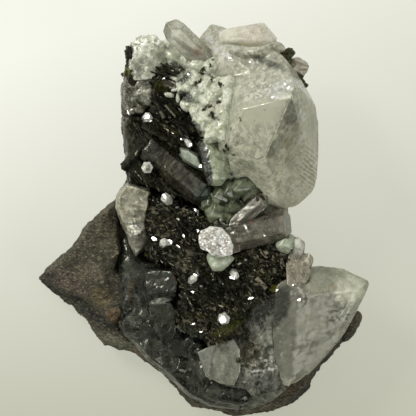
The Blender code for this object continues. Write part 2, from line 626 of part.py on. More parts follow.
def left_quartz():
    yield "left_quartz_vein", MILKY_QUARTZ, [
        slab(
            [(-16.5, 6.0), (-15.0, 7.2), (-13.2, 6.8), (-10.4, 5.6), (-10.6, 3.0), (-11.2, 0.8),
             (-11.2, -2.0), (-10.4, -3.8), (-11.8, -6.2), (-13.4, -7.4), (-14.3, -5.8), (-15.0, -3.4),
             (-16.4, -1.0),
             (-17.3, 2.2), (-17.3, 4.6)],
            relief([(-16.0, 4.0, 17.0), (-12.0, 4.0, 17.6), (-13.4, -2.0, 17.2), (-13.0, -6.6, 14.0)],
                   3.0, 1.2, 0.4, 9),
            lambda x, y: 10.0, 1.5, jag=0.2, bevel=0.6, seed=9,
        ),
    ]
    yield "corner_quartz", MILKY_QUARTZ, [
        standing_block(
            [(-14.3, 35.0), (-12.6, 36.3), (-9.8, 36.5), (-8.0, 34.4), (-7.8, 31.0), (-10.6, 28.6),
             (-13.4, 28.4), (-14.6, 31.0)],
            17.0, 8,
            [((-14.0, 35.0, 18.4), (-8.4, 35.4, 19.2), (-10.6, 29.0, 20.6)), ((-8.0, 34.0, 18.8),
             (-8.2, 30.6, 19.0), (-10.6, 31.6, 20.2))],
            11.0,
        ),
        standing_block(
            [(-9.4, 34.8), (-6.0, 35.6), (-1.6, 34.0), (0.4, 31.2), (0.2, 28.2), (-3.4, 27.0),
             (-6.6, 27.4), (-10.0, 28.4)],
            14.0, 10,
            [((-9.0, 34.6, 16.4), (-1.4, 33.8, 17.4), (-4.0, 28.0, 20.0)), ((-9.8, 29.0, 18.2),
             (-7.0, 33.0, 17.6), (-6.6, 28.0, 19.4))],
            10.5,
        ),
    ]
    yield "left_edge_quartz", MILKY_QUARTZ, [
        slab(
            [(-15.4, 29.0), (-12.6, 30.2), (-10.2, 29.0), (-9.6, 26.6), (-9.8, 23.0), (-12.0, 20.8),
             (-14.6, 20.6),
             (-16.2, 23.4), (-16.3, 26.8)],
            relief([(-15.0, 28.0, 17.0), (-11.0, 26.0, 18.6), (-13.0, 22.0, 17.4)], 2.6, 1.5, 0.4, 11),
            lambda x, y: 12.0, 1.4, jag=0.25, bevel=0.7, seed=11,
        ),
    ]


def epidote_blades(places, length, width, seed):
    """Short flat blades at the places (x, y, z), each leaning its own way."""
    rng = random.Random(seed)
    for x, y, z in places:
        spin = rng.uniform(0, 2 * math.pi)
        lean = rng.uniform(0.5, 1.25)
        reach = length * rng.uniform(0.7, 1.3)
        along = Vector((math.cos(spin) * math.sin(lean), math.sin(spin) * math.sin(lean), math.cos(lean)))
        base = Vector((x, y, z)) - along * reach * 0.5
        thickness = width * rng.uniform(0.8, 1.3)
        yield quartz_prism(base, base + along * reach, thickness, roll=rng.uniform(0, 60), flat=0.6)


def epidote_masses():
    """Two dark masses of fine blades, each a rough slab with the larger blades standing out of it."""
    upper_top = relief(
        [(-7.6, 31.0, 18.5), (-3.6, 28.0, 19.0), (-8.0, 25.0, 19.6), (-3.0, 20.0, 20.5),
         (-10.0, 18.0, 19.4), (-15.0, 18.0, 16.2), (-15.0, 11.0, 16.0), (-9.0, 8.0, 18.2),
         (-1.0, 12.0, 20.2),
         (1.0, 5.0, 18.0)],
        3.6, 1.8, 0.7, 21,
    )
    upper_outline = [
        (-7.6, 32.2), (-5.8, 30.6), (-3.8, 28.8), (-2.4, 26.6), (-3.6, 24.6), (-3.4, 22.0),
        (-1.2, 19.6), (0.2, 16.4), (1.2, 13.6), (2.4, 10.0), (3.8, 7.0), (5.4, 4.0), (3.6, 1.6),
        (0.4, 1.8), (-2.2, 2.6), (-5.0, 3.8), (-7.6, 4.6), (-10.4, 5.8), (-13.2, 6.6), (-15.0, 7.4),
        (-15.4, 9.6), (-15.9, 11.8), (-15.7, 13.8), (-16.2, 16.8), (-16.2, 20.0), (-14.6, 21.2),
        (-12.2, 21.2), (-10.4, 23.0), (-10.8, 25.6), (-10.6, 27.8), (-9.2, 29.8),
    ]
    upper_blades = [
        (-7.5, 29.6, 18.6), (-5.2, 27.2, 19.2), (-6.4, 23.2, 20.2), (-9.4, 19.4, 19.6), (-4.4, 19.2, 20.6),
        (-13.2, 16.6, 17.6), (-14.2, 11.8, 16.8), (-9.4, 8.2, 18.2), (-0.8, 8.6, 19.4),
    ]
    lower_top = relief(
        [(-11.0, 3.6, 17.0), (-4.0, 2.0, 18.6), (1.0, -1.4, 19.6), (-8.0, -5.0, 19.2),
         (0.0, -8.0, 20.6), (8.0, -6.0, 20.4), (16.0, -6.0, 19.6), (16.6, -12.0, 18.4),
         (8.0, -14.0, 20.8), (0.0, -16.0, 19.6),
         (4.0, -22.0, 18.2), (-4.0, -20.0, 17.0)],
        3.6, 1.9, 0.7, 23,
    )
    lower_outline = [
        (-10.6, 4.6), (-7.6, 4.4), (-4.6, 3.2), (-1.0, 1.4), (2.0, -0.6), (5.0, -2.8), (8.4, -4.4),
        (12.6, -3.8), (15.4, -4.2), (17.0, -6.4), (17.8, -9.6), (17.6, -12.6), (16.8, -14.4),
        (13.8, -15.6), (11.2, -16.4), (9.2, -18.4), (8.4, -21.4), (6.6, -23.8), (3.8, -25.3),
        (1.0, -24.9), (-1.8, -23.8), (-4.6, -22.2), (-5.4, -19.6), (-4.8, -16.8), (-4.6, -12.6),
        (-6.2, -9.6), (-8.6, -9.2), (-10.6, -8.0), (-11.6, -6.2), (-11.4, -3.0), (-11.6, 0.6),
    ]
    lower_blades = [
        (-9.0, 1.8, 18.0), (-4.6, -0.6, 19.0), (-9.2, -4.2, 18.8), (-4.2, -5.6, 19.8), (8.2, -8.2, 20.8),
        (12.4, -6.6, 20.2), (11.0, -12.2, 20.6), (4.4, -14.2, 20.6), (-2.4, -15.6, 19.2), (1.0, -19.2, 18.8),
        (-3.0, -20.2, 17.8), (5.8, -18.6, 19.4), (2.4, -23.0, 18.2),
    ]
    yield "upper_epidote", EPIDOTE, [
        slab(upper_outline, upper_top, lambda x, y: 10.0, 3.2, jag=0.3, bevel=0.8, seed=21),
        *epidote_blades(upper_blades, 4.6, 1.9, 41),
    ]
    yield "lower_epidote", EPIDOTE, [
        slab(lower_outline, lower_top, lambda x, y: 10.5, 3.2, jag=0.3, bevel=0.8, seed=23),
        *epidote_blades(lower_blades, 4.4, 1.8, 43),
    ]


def basalt():
    """The rock: a thick slab, flat where it lies, with a raised wing at its left."""
    outline = [
        (-10.6, 33.8), (-14.2, 32.0), (-15.9, 28.6), (-16.3, 21.8), (-15.7, 14.8), (-15.1, 9.4),
        (-16.3, 5.8), (-17.6, 3.6), (-20.4, 1.2), (-22.8, -1.2), (-25.0, -4.0), (-27.6, -7.2),
        (-30.6, -9.8), (-32.9, -12.4), (-30.0, -15.2), (-26.6, -17.8), (-23.6, -20.8), (-21.4, -23.6),
        (-19.8, -25.4), (-16.6, -26.2), (-14.0, -26.8), (-12.0, -28.4), (-8.6, -31.0), (-6.0, -33.4),
        (-4.0, -36.0), (-2.2, -37.6), (1.8, -38.4), (6.4, -39.3), (11.8, -39.2), (16.4, -38.0),
        (19.0, -36.4), (21.4, -33.8), (22.8, -30.8), (24.8, -28.4), (27.4, -26.0), (28.6, -23.4),
        (30.6, -21.2), (31.1, -18.8), (30.2, -16.8), (26.4, -15.6), (21.8, -13.2), (18.4, -8.6),
        (16.4, -4.2), (15.2, -0.6), (11.8, 2.8), (8.4, 7.8), (6.2, 13.8), (5.0, 19.8), (3.4, 26.4),
        (-0.6, 30.8), (-5.6, 33.8),
    ]
    top = relief(
        [(-32.0, -12.8, 5.0), (-26.0, -16.0, 5.4), (-21.0, -22.0, 6.4), (-14.0, -25.6, 8.0),
         (-8.0, -29.6, 8.4), (-3.0, -35.4, 8.4), (5.0, -38.0, 8.0), (15.0, -36.6, 8.6),
         (21.0, -31.6, 9.0), (26.4, -26.0, 10.0), (30.0, -19.4, 11.4), (-14.0, -16.0, 9.4),
         (0.0, -15.0, 13.6), (10.0, -10.0, 13.6), (0.0, 0.0, 13.4), (-8.0, 10.0, 13.6),
         (-15.4, 12.0, 13.0), (-15.6, 26.0, 14.2), (-8.0, 22.0, 13.6), (-8.0, 31.0, 12.4),
         (0.0, 27.0, 12.6), (8.0, 8.0, 11.6), (-15.0, -1.0, 9.2), (-18.0, 2.0, 9.0)],
        5.2, 1.3, 0.5, 1,
    )
    under_chips = relief([(0.0, 0.0, 0.0)], 9.0, 2.6, 0.4, 2)
    rim = [Vector(p) for p in outline]

    def underside(x, y):
        if in_outline(Vector((x, y)), rim, 4.6):
            return 0.0
        return 1.7 + abs(under_chips(x, y))

    wing_outline = [
        (-16.3, 5.0), (-18.8, 3.1), (-21.1, 1.0), (-23.4, -1.1), (-25.4, -4.1), (-27.3, -6.4),
        (-28.9, -7.5), (-31.4, -9.8), (-33.3, -12.2), (-30.0, -13.7), (-28.2, -14.8), (-25.4, -15.5),
        (-22.9, -16.9), (-21.7, -18.1), (-19.7, -20.1), (-18.5, -21.1), (-16.2, -20.8), (-15.1, -18.3),
        (-14.9, -14.2), (-15.5, -11.4), (-17.4, -9.8), (-16.2, -7.0), (-16.5, -2.7), (-16.4, 2.6),
    ]
    wing_top = relief(
        [(-33.0, -12.2, 7.4), (-28.0, -9.0, 10.4), (-24.0, -5.0, 12.4), (-19.6, 0.4, 14.0),
         (-18.0, -8.0, 13.8), (-20.0, -12.0, 13.4), (-17.4, -16.0, 12.6), (-17.0, -20.0, 11.4),
         (-27.0, -13.6, 9.6), (-22.0, -16.0, 11.2),
         (-15.6, -10.0, 11.4), (-17.0, -1.0, 12.0)],
        4.4, 0.8, 0.45, 3,
    )
    yield "basalt_matrix", BASALT, [
        slab(outline, top, underside, 4.7, jag=0.5, bevel=1.4, seed=1),
        slab(wing_outline, wing_top, lambda x, y: 3.4, 2.7, jag=0.3, bevel=0.8, seed=3),
    ]


def build():
    """Makes the pieces from front to back: each is cut back from the ones before it, with a gap."""
    groups = [
        small_crystals, top_crystals, middle_crystals, prehnite_pieces, great_quartz, right_quartz,
        left_quartz, low_quartz, epidote_masses, basalt,
    ]
    in_front = []
    for group in groups:
        for name, finish, solids in group():
            meshes = [solid(0.0) for solid in solids]
            mesh = boolean(meshes[0], meshes[1:], "UNION") if len(meshes) > 1 else meshes[0]
            box = box_of([mesh])
            cutters = [cutter for cutter, cutter_box in in_front if boxes_meet(box, cutter_box)]
            if cutters:
                mesh = boolean(mesh, cutters, "DIFFERENCE")
            grown = [solid(GAP) for solid in solids]
            in_front += [(cutter, box_of([cutter])) for cutter in grown]
            add_node(name, finish, largest_body(mesh))


for leftover in list(bpy.data.objects):
    bpy.data.objects.remove(leftover)
build()
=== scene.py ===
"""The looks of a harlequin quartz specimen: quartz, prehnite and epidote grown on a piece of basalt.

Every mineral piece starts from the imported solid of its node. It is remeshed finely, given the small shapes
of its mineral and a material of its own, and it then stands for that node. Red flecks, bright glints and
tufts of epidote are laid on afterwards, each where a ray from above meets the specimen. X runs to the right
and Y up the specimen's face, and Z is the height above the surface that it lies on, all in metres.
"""

import math
import random

import bmesh
import bpy
import numpy as np
from mathutils import Matrix, Vector


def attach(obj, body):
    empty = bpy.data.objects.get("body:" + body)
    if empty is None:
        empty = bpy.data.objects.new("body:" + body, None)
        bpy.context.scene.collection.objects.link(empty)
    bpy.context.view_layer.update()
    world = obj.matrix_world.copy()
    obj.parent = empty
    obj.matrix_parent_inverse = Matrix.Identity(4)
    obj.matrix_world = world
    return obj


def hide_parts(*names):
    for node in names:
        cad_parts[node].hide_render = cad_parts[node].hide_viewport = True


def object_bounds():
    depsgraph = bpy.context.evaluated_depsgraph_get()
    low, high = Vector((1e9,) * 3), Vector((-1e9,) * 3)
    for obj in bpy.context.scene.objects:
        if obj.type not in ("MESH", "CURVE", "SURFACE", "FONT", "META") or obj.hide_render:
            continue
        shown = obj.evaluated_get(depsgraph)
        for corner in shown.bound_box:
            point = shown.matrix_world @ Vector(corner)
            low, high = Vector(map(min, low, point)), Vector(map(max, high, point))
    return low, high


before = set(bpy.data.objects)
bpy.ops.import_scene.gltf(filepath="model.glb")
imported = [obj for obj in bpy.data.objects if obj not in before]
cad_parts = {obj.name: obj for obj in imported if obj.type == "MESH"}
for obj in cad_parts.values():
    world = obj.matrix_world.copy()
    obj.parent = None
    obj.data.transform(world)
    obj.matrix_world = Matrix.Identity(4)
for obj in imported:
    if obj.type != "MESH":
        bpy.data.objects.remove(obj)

MM = 0.001
CAD_LOW, CAD_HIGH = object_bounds()

# The picture: its middle pixel, and where its pixels lie on the specimen.
PICTURE_PIXELS = 416
PIXEL = 0.2 * MM
ORIGIN_PIXEL = (202.85, 218.15)
MIDDLE_PIXEL = (208.0, 208.0)
MIDDLE_HEIGHT = 18 * MM
CAMERA_DISTANCE = 3.0
SENSOR_WIDTH = 36.0


def spot(px, py, height=0.0):
    """The point that a pixel of the picture shows, at a height in millimetres."""
    return Vector(((px - ORIGIN_PIXEL[0]) * PIXEL, (ORIGIN_PIXEL[1] - py) * PIXEL, height * MM))


# Node trees


def add(tree, kind, values=None, **settings):
    """Adds a node. values fills its inputs by name or number: a socket is joined, the rest is set."""
    node = tree.nodes.new(kind)
    for name, value in settings.items():
        setattr(node, name, value)
    for key, value in (values or {}).items():
        if isinstance(value, bpy.types.NodeSocket):
            tree.links.new(value, node.inputs[key])
        else:
            node.inputs[key].default_value = value
    return node


def maths(tree, operation, a, b=0.0):
    return add(tree, "ShaderNodeMath", {0: a, 1: b}, operation=operation).outputs[0]


def vectors(tree, operation, a, b=(0.0, 0.0, 0.0)):
    node = add(tree, "ShaderNodeVectorMath", {0: a}, operation=operation)
    key = "Scale" if operation == "SCALE" else 1
    if isinstance(b, bpy.types.NodeSocket):
        tree.links.new(b, node.inputs[key])
    else:
        node.inputs[key].default_value = b
    return node.outputs["Value" if operation in ("LENGTH", "DOT_PRODUCT") else "Vector"]


def between(tree, value, low, high, to_low=0.0, to_high=1.0):
    """The value eased from low to high, as a number from to_low to to_high."""
    values = {0: value, 1: low, 2: high, 3: to_low, 4: to_high}
    return add(tree, "ShaderNodeMapRange", values, interpolation_type="SMOOTHSTEP").outputs[0]


def mixed(tree, a, b, factor, way="MIX"):
    values = {"Fac": factor, "Color1": a, "Color2": b}
    return add(tree, "ShaderNodeMixRGB", values, blend_type=way).outputs[0]


def colour(red, green, blue):
    return (red, green, blue, 1.0)


def new_group(name, kind, inputs, outputs):
    """A node group with named sockets: (tree, its inputs as sockets, its outputs as sockets)."""
    tree = bpy.data.node_groups.new(name, kind)
    for label, socket, default in inputs:
        made = tree.interface.new_socket(name=label, in_out="INPUT", socket_type=socket)
        if default is not None:
            made.default_value = default
    for label, socket in outputs:
        tree.interface.new_socket(name=label, in_out="OUTPUT", socket_type=socket)
    start = tree.nodes.new("NodeGroupInput")
    end = tree.nodes.new("NodeGroupOutput")
    return tree, start.outputs, end.inputs


# Shader groups: effects that several minerals share


def make_patch_group():
    """A soft, ragged-edged oval: 1 inside, 0 outside. It reaches through the whole height."""
    tree, given, result = new_group(
        "patch", "ShaderNodeTree",
        [
            ("Vector", "NodeSocketVector", None),
            ("Centre", "NodeSocketVector", (0.0, 0.0, 0.0)),
            ("Reach", "NodeSocketVector", (1.0, 1.0, 1.0)),
            ("Turn", "NodeSocketVector", (0.0, 0.0, 0.0)),
            ("Softness", "NodeSocketFloat", 0.3),
            ("Raggedness", "NodeSocketFloat", 0.4),
            ("Grain", "NodeSocketFloat", 900.0),
        ],
        [("Mask", "NodeSocketFloat")],
    )
    local = add(
        tree, "ShaderNodeMapping",
        {"Vector": given["Vector"], "Location": given["Centre"], "Rotation": given["Turn"],
         "Scale": given["Reach"]},
        vector_type="TEXTURE",
    ).outputs[0]
    away = vectors(tree, "LENGTH", local)
    ragged = add(
        tree, "ShaderNodeTexNoise", {"Vector": given["Vector"], "Scale": given["Grain"], "Detail": 3.0},
    ).outputs["Fac"]
    shift = maths(tree, "MULTIPLY", maths(tree, "SUBTRACT", ragged, 0.5), given["Raggedness"])
    edge = maths(tree, "ADD", away, maths(tree, "MULTIPLY", shift, 2.0))
    inner = maths(tree, "SUBTRACT", 1.0, given["Softness"])
    outer = maths(tree, "ADD", 1.0, given["Softness"])
    tree.links.new(between(tree, edge, inner, outer, 1.0, 0.0), result["Mask"])
    return tree


def make_veil_group():
    """What is inside quartz: soft clouds, thin bright threads of healed cracks, and dark specks."""
    tree, given, result = new_group(
        "veils", "ShaderNodeTree",
        [
            ("Vector", "NodeSocketVector", None),
            ("Turn", "NodeSocketVector", (0.0, 0.0, 0.0)),
            ("Stretch", "NodeSocketVector", (1.0, 1.0, 1.0)),
            ("Scale", "NodeSocketFloat", 300.0),
        ],
        [("Cloud", "NodeSocketFloat"), ("Mottle", "NodeSocketFloat"), ("Threads", "NodeSocketFloat"),
         ("Specks", "NodeSocketFloat"), ("Streaks", "NodeSocketFloat"), ("Haze", "NodeSocketFloat")],
    )
    place = add(
        tree, "ShaderNodeMapping",
        {"Vector": given["Vector"], "Rotation": given["Turn"], "Scale": given["Stretch"]},
        vector_type="TEXTURE",
    ).outputs[0]
    broad = add(
        tree, "ShaderNodeTexNoise",
        {"Vector": place, "Scale": given["Scale"], "Detail": 5.0, "Roughness": 0.62, "Distortion": 0.5},
    ).outputs["Fac"]
    tree.links.new(between(tree, broad, 0.36, 0.66), result["Cloud"])
    small = add(
        tree, "ShaderNodeTexNoise",
        {"Vector": place, "Scale": maths(tree, "MULTIPLY", given["Scale"], 3.0), "Detail": 5.0,
         "Roughness": 0.62, "Distortion": 0.4},
    ).outputs["Fac"]
    tree.links.new(between(tree, small, 0.34, 0.68), result["Mottle"])
    drawn = add(
        tree, "ShaderNodeMapping",
        {"Vector": given["Vector"], "Rotation": (0.3, 0.2, -0.7), "Scale": (1.0, 3.2, 1.0)},
        vector_type="TEXTURE",
    ).outputs[0]
    lines = add(
        tree, "ShaderNodeTexNoise", {"Vector": drawn, "Scale": 4200.0, "Detail": 2.0, "Roughness": 0.6},
    ).outputs["Fac"]
    tree.links.new(between(tree, lines, 0.58, 0.72), result["Streaks"])
    haze = add(
        tree, "ShaderNodeTexNoise",
        {"Vector": given["Vector"], "Scale": 2100.0, "Detail": 3.0, "Roughness": 0.7, "Distortion": 0.3},
    ).outputs["Fac"]
    tree.links.new(between(tree, haze, 0.34, 0.66, -1.0, 1.0), result["Haze"])
    fine = add(
        tree, "ShaderNodeTexNoise",
        {"Vector": place, "Scale": maths(tree, "MULTIPLY", given["Scale"], 1.7), "Detail": 4.0,
         "Roughness": 0.55, "Distortion": 1.4},
    ).outputs["Fac"]
    ridge = maths(tree, "ABSOLUTE", maths(tree, "SUBTRACT", fine, 0.5))
    tree.links.new(between(tree, ridge, 0.0, 0.035, 1.0, 0.0), result["Threads"])
    dots = add(
        tree, "ShaderNodeTexVoronoi",
        {"Vector": given["Vector"], "Scale": maths(tree, "MULTIPLY", given["Scale"], 3.2)},
    )
    rare = maths(tree, "GREATER_THAN", add(
        tree, "ShaderNodeSeparateColor", {0: dots.outputs["Color"]}).outputs[0], 0.8)
    dot = between(tree, dots.outputs["Distance"], 0.1, 0.34, 1.0, 0.0)
    tree.links.new(maths(tree, "MULTIPLY", rare, dot), result["Specks"])
    return tree


def make_skin_group():
    """The height of a fine surface: broad waves, fine pits, and ribs that run across one direction."""
    tree, given, result = new_group(
        "skin", "ShaderNodeTree",
        [
            ("Vector", "NodeSocketVector", None),
            ("Wave Scale", "NodeSocketFloat", 600.0),
            ("Pit Scale", "NodeSocketFloat", 3500.0),
            ("Pits", "NodeSocketFloat", 0.4),
            ("Rib Turn", "NodeSocketVector", (0.0, 0.0, 0.0)),
            ("Rib Scale", "NodeSocketFloat", 500.0),
            ("Ribs", "NodeSocketFloat", 0.0),
        ],
        [("Height", "NodeSocketFloat"), ("Rib Lines", "NodeSocketFloat")],
    )
    waves = add(
        tree, "ShaderNodeTexNoise",
        {"Vector": given["Vector"], "Scale": given["Wave Scale"], "Detail": 3.0},
    ).outputs["Fac"]
    pits = add(
        tree, "ShaderNodeTexNoise",
        {"Vector": given["Vector"], "Scale": given["Pit Scale"], "Detail": 2.0, "Roughness": 0.7},
    ).outputs["Fac"]
    turned = add(
        tree, "ShaderNodeMapping", {"Vector": given["Vector"], "Rotation": given["Rib Turn"]},
    ).outputs[0]
    ribs = add(
        tree, "ShaderNodeTexWave",
        {"Vector": turned, "Scale": given["Rib Scale"], "Distortion": 4.0, "Detail": 3.0,
         "Detail Scale": 0.8},
        wave_type="BANDS", bands_direction="X", wave_profile="SIN",
    ).outputs["Fac"]
    pitted = maths(tree, "MULTIPLY", pits, given["Pits"])
    ribbed = maths(tree, "MULTIPLY", ribs, given["Ribs"])
    tree.links.new(maths(tree, "ADD", waves, maths(tree, "ADD", pitted, ribbed)), result["Height"])
    tree.links.new(ribs, result["Rib Lines"])
    return tree


def make_facet_group():
    """A normal that tilts another way in each small cell, for crackled and sparkling quartz."""
    tree, given, result = new_group(
        "facets", "ShaderNodeTree",
        [
            ("Vector", "NodeSocketVector", None),
            ("Normal", "NodeSocketVector", (0.0, 0.0, 1.0)),
            ("Scale", "NodeSocketFloat", 2000.0),
            ("Tilt", "NodeSocketFloat", 0.3),
        ],
        [("Normal", "NodeSocketVector"), ("Tone", "NodeSocketFloat")],
    )
    cells = add(tree, "ShaderNodeTexVoronoi", {"Vector": given["Vector"], "Scale": given["Scale"]})
    way = vectors(tree, "SUBTRACT", cells.outputs["Color"], (0.5, 0.5, 0.5))
    leaning = vectors(tree, "ADD", given["Normal"], vectors(tree, "SCALE", way, given["Tilt"]))
    tree.links.new(vectors(tree, "NORMALIZE", leaning), result["Normal"])
    tree.links.new(
        add(tree, "ShaderNodeSeparateColor", {0: cells.outputs["Color"]}).outputs[1], result["Tone"])
    return tree


def make_edge_group():
    """Where a surface has a sharp outer edge, and where it has a crease."""
    tree, given, result = new_group(
        "edges", "ShaderNodeTree",
        [("Spread", "NodeSocketFloat", 0.08)],
        [("Edge", "NodeSocketFloat"), ("Crease", "NodeSocketFloat")],
    )
    sharp = add(tree, "ShaderNodeNewGeometry").outputs["Pointiness"]
    high = maths(tree, "ADD", 0.5, given["Spread"])
    low = maths(tree, "SUBTRACT", 0.5, given["Spread"])
    tree.links.new(between(tree, sharp, 0.512, high), result["Edge"])
    tree.links.new(between(tree, sharp, 0.488, low), result["Crease"])
    return tree


PATCH = make_patch_group()
VEILS = make_veil_group()
SKIN = make_skin_group()
FACETS = make_facet_group()
EDGES = make_edge_group()


# Materials


def new_material(name):
    """(tree, Principled shader, object coordinates) of a new material."""
    material = bpy.data.materials.new(name)
    material.use_nodes = True
    tree = material.node_tree
    shader = tree.nodes["Principled BSDF"]
    place = add(tree, "ShaderNodeTexCoord").outputs["Object"]
    return material, tree, shader, place


def join(tree, shader, **sockets):
    for name, value in sockets.items():
        key = name.replace("_", " ")
        if isinstance(value, bpy.types.NodeSocket):
            tree.links.new(value, shader.inputs[key])
        else:
            shader.inputs[key].default_value = value


def patch_mask(tree, place, at, reach, turn=0.0, soft=0.35, ragged=0.4, grain=900.0):
    """The mask of an oval at a pixel, reach in pixels each way, turned by degrees."""
    values = {
        "Vector": place,
        "Centre": spot(*at),
        "Reach": (reach[0] * PIXEL, reach[1] * PIXEL, 1.0),
        "Turn": (0.0, 0.0, math.radians(turn)),
        "Softness": soft,
        "Raggedness": ragged,
        "Grain": grain,
    }
    return add(tree, "ShaderNodeGroup", values, node_tree=PATCH).outputs["Mask"]


def bump(tree, height, distance, strength=1.0):
    values = {"Height": height, "Distance": distance, "Strength": strength}
    return add(tree, "ShaderNodeBump", values).outputs[0]


def patch(at, reach, tint, turn=0.0, strength=0.7, rough=0.2, soft=0.35, ragged=0.4):
    """A local look: an oval around a pixel, its reach in pixels, its turn in degrees, and its colour."""
    return dict(
        at=at, reach=reach, tint=tint, turn=turn, strength=strength, rough=rough, soft=soft, ragged=ragged,
    )


def tinted(tree, place, tone, dull, patches):
    """The colour and the roughness with all the patches laid over them."""
    for item in patches:
        mask = patch_mask(
            tree, place, item["at"], item["reach"], item["turn"], item["soft"], item["ragged"],
        )
        tone = mixed(tree, tone, colour(*item["tint"]), maths(tree, "MULTIPLY", mask, item["strength"]))
        if dull is not None:
            keep = maths(tree, "MULTIPLY", dull, maths(tree, "SUBTRACT", 1.0, mask))
            dull = maths(tree, "ADD", keep, maths(tree, "MULTIPLY", mask, item["rough"]))
    return tone, dull


def shaded(tree, tone, factor):
    """The colour made lighter or darker by a factor, and kept below white."""
    return vectors(tree, "MINIMUM", vectors(tree, "SCALE", tone, factor), (0.95, 0.95, 0.95))


def quartz(
    name, pale, deep, clear=0.5, milk=0.75, depth=2.0, gloss=0.5, rough=(0.04, 0.2), veil_scale=260.0,
    stretch=(1, 1, 1), turn=0.0, mottle=0.25, threads=0.15, specks=0.2, streaks=0.2, edge=0.5, relief=0.03,
    faces=(), patches=(), sparkles=(), sparkle=0.0, sparkle_scale=2000.0, ribs=None,
    thread_colour=(0.72, 0.72, 0.63), haze=0.07, calm=(),
):
    """A quartz: clear is its glassy share, and light spreads inside the rest, to a depth in millimetres.

    Its clouds run from pale to deep. faces are colours laid on single crystal faces by the way they face:
    (direction, colour, strength); they hold the faces' own looks and also painted light and shade for how
    each face is lit. patches are local colours, some of them painted highlights and painted shade. edge
    paints a highlight along sharp edges. sparkles are places with a crackled surface and painted sparkle:
    (pixel, reach, turn, tilt). ribs is one place with growth lines: (pixel, reach, turn, turn of lines,
    lines per metre). calm are the places without mottles: (pixel, reach, turn).
    """
    material, tree, shader, place = new_material(name)
    inner = add(
        tree, "ShaderNodeGroup",
        {"Vector": place, "Scale": veil_scale, "Stretch": stretch, "Turn": (0, 0, math.radians(turn))},
        node_tree=VEILS,
    ).outputs
    tone = mixed(tree, colour(*deep), colour(*pale), inner["Cloud"])
    dull = between(tree, inner["Cloud"], 0.1, 0.9, rough[0], rough[1])
    facing = add(tree, "ShaderNodeNewGeometry").outputs["Normal"]
    # Colour by facing direction: the faces' own looks, and also painted light and shade for how each face is
    # lit.
    for direction, tint, strength in faces:
        along = vectors(tree, "DOT_PRODUCT", facing, Vector(direction).normalized())
        mask = between(tree, along, 0.955, 0.985, 0.0, strength)
        tone = mixed(tree, tone, colour(*tint), mask)
    tone, dull = tinted(tree, place, tone, dull, patches)
    stir = 1.0
    for at, reach, calm_turn in calm:
        mask = patch_mask(tree, place, at, reach, calm_turn, soft=0.5)
        stir = maths(tree, "MULTIPLY", maths(tree, "SUBTRACT", 1.0, mask), stir)
    mottled = between(tree, inner["Mottle"], 0.0, 1.0, -mottle, 0.7 * mottle)
    hazy = maths(tree, "MULTIPLY", inner["Haze"], haze)
    stirred = maths(tree, "MULTIPLY", maths(tree, "ADD", mottled, hazy), stir)
    tone = shaded(tree, tone, maths(tree, "ADD", 1.0, stirred))
    for line, amount in (("Threads", threads), ("Streaks", streaks)):
        amount = maths(tree, "MULTIPLY", maths(tree, "MULTIPLY", inner[line], amount), stir)
        tone = mixed(tree, tone, colour(*thread_colour), amount)
    tone = mixed(tree, tone, colour(0.03, 0.03, 0.018), maths(tree, "MULTIPLY", inner["Specks"], specks))
    # Painted highlight: sharp outer edges are made lighter.
    edges = add(tree, "ShaderNodeGroup", {}, node_tree=EDGES).outputs
    tone = shaded(tree, tone, maths(tree, "ADD", 1.0, maths(tree, "MULTIPLY", edges["Edge"], edge)))
    rib_values = {}
    if ribs is not None:
        at, reach, rib_patch_turn, rib_turn, rib_scale = ribs
        rib_mask = patch_mask(tree, place, at, reach, rib_patch_turn, soft=0.7, ragged=1.2)
        rib_values = {
            "Ribs": maths(tree, "MULTIPLY", rib_mask, 1.0), "Rib Scale": rib_scale,
            "Rib Turn": (0, 0, math.radians(rib_turn)),
        }
    skin = add(
        tree, "ShaderNodeGroup", {"Vector": place, **rib_values}, node_tree=SKIN,
    ).outputs
    if ribs is not None:
        lines = between(tree, skin["Rib Lines"], 0.2, 0.9, 0.8, 1.28)
        lit = maths(tree, "ADD", maths(tree, "MULTIPLY", lines, rib_mask), maths(
            tree, "SUBTRACT", 1.0, rib_mask))
        tone = shaded(tree, tone, lit)
    normal = bump(tree, skin["Height"], relief * MM)
    if sparkle or sparkles:
        tilt = sparkle
        for at, reach, sparkle_turn, amount in sparkles:
            mask = patch_mask(tree, place, at, reach, sparkle_turn, soft=0.4, ragged=0.5)
            tilt = maths(tree, "ADD", maths(tree, "MULTIPLY", mask, amount), tilt)
        facets = add(
            tree, "ShaderNodeGroup",
            {"Vector": place, "Normal": normal, "Scale": sparkle_scale, "Tilt": tilt}, node_tree=FACETS,
        ).outputs
        normal = facets["Normal"]
        # Painted sparkle: a few cells are painted lighter and the rest a little darker, as glints on the
        # crackled surface.
        flash = between(tree, facets["Tone"], 0.62, 0.95, -0.35, 1.5)
        tone = shaded(tree, tone, maths(tree, "ADD", 1.0, maths(tree, "MULTIPLY", flash, tilt)))
    join(
        tree, shader, Base_Color=tone, Roughness=dull, IOR=1.544, Transmission_Weight=clear, Normal=normal,
        Specular_IOR_Level=gloss, Specular_Tint=(1.0, 0.99, 0.88, 1.0), Subsurface_Weight=milk,
        Subsurface_Radius=(1.0, 1.0, 0.9), Subsurface_Scale=depth * MM,
    )
    return material


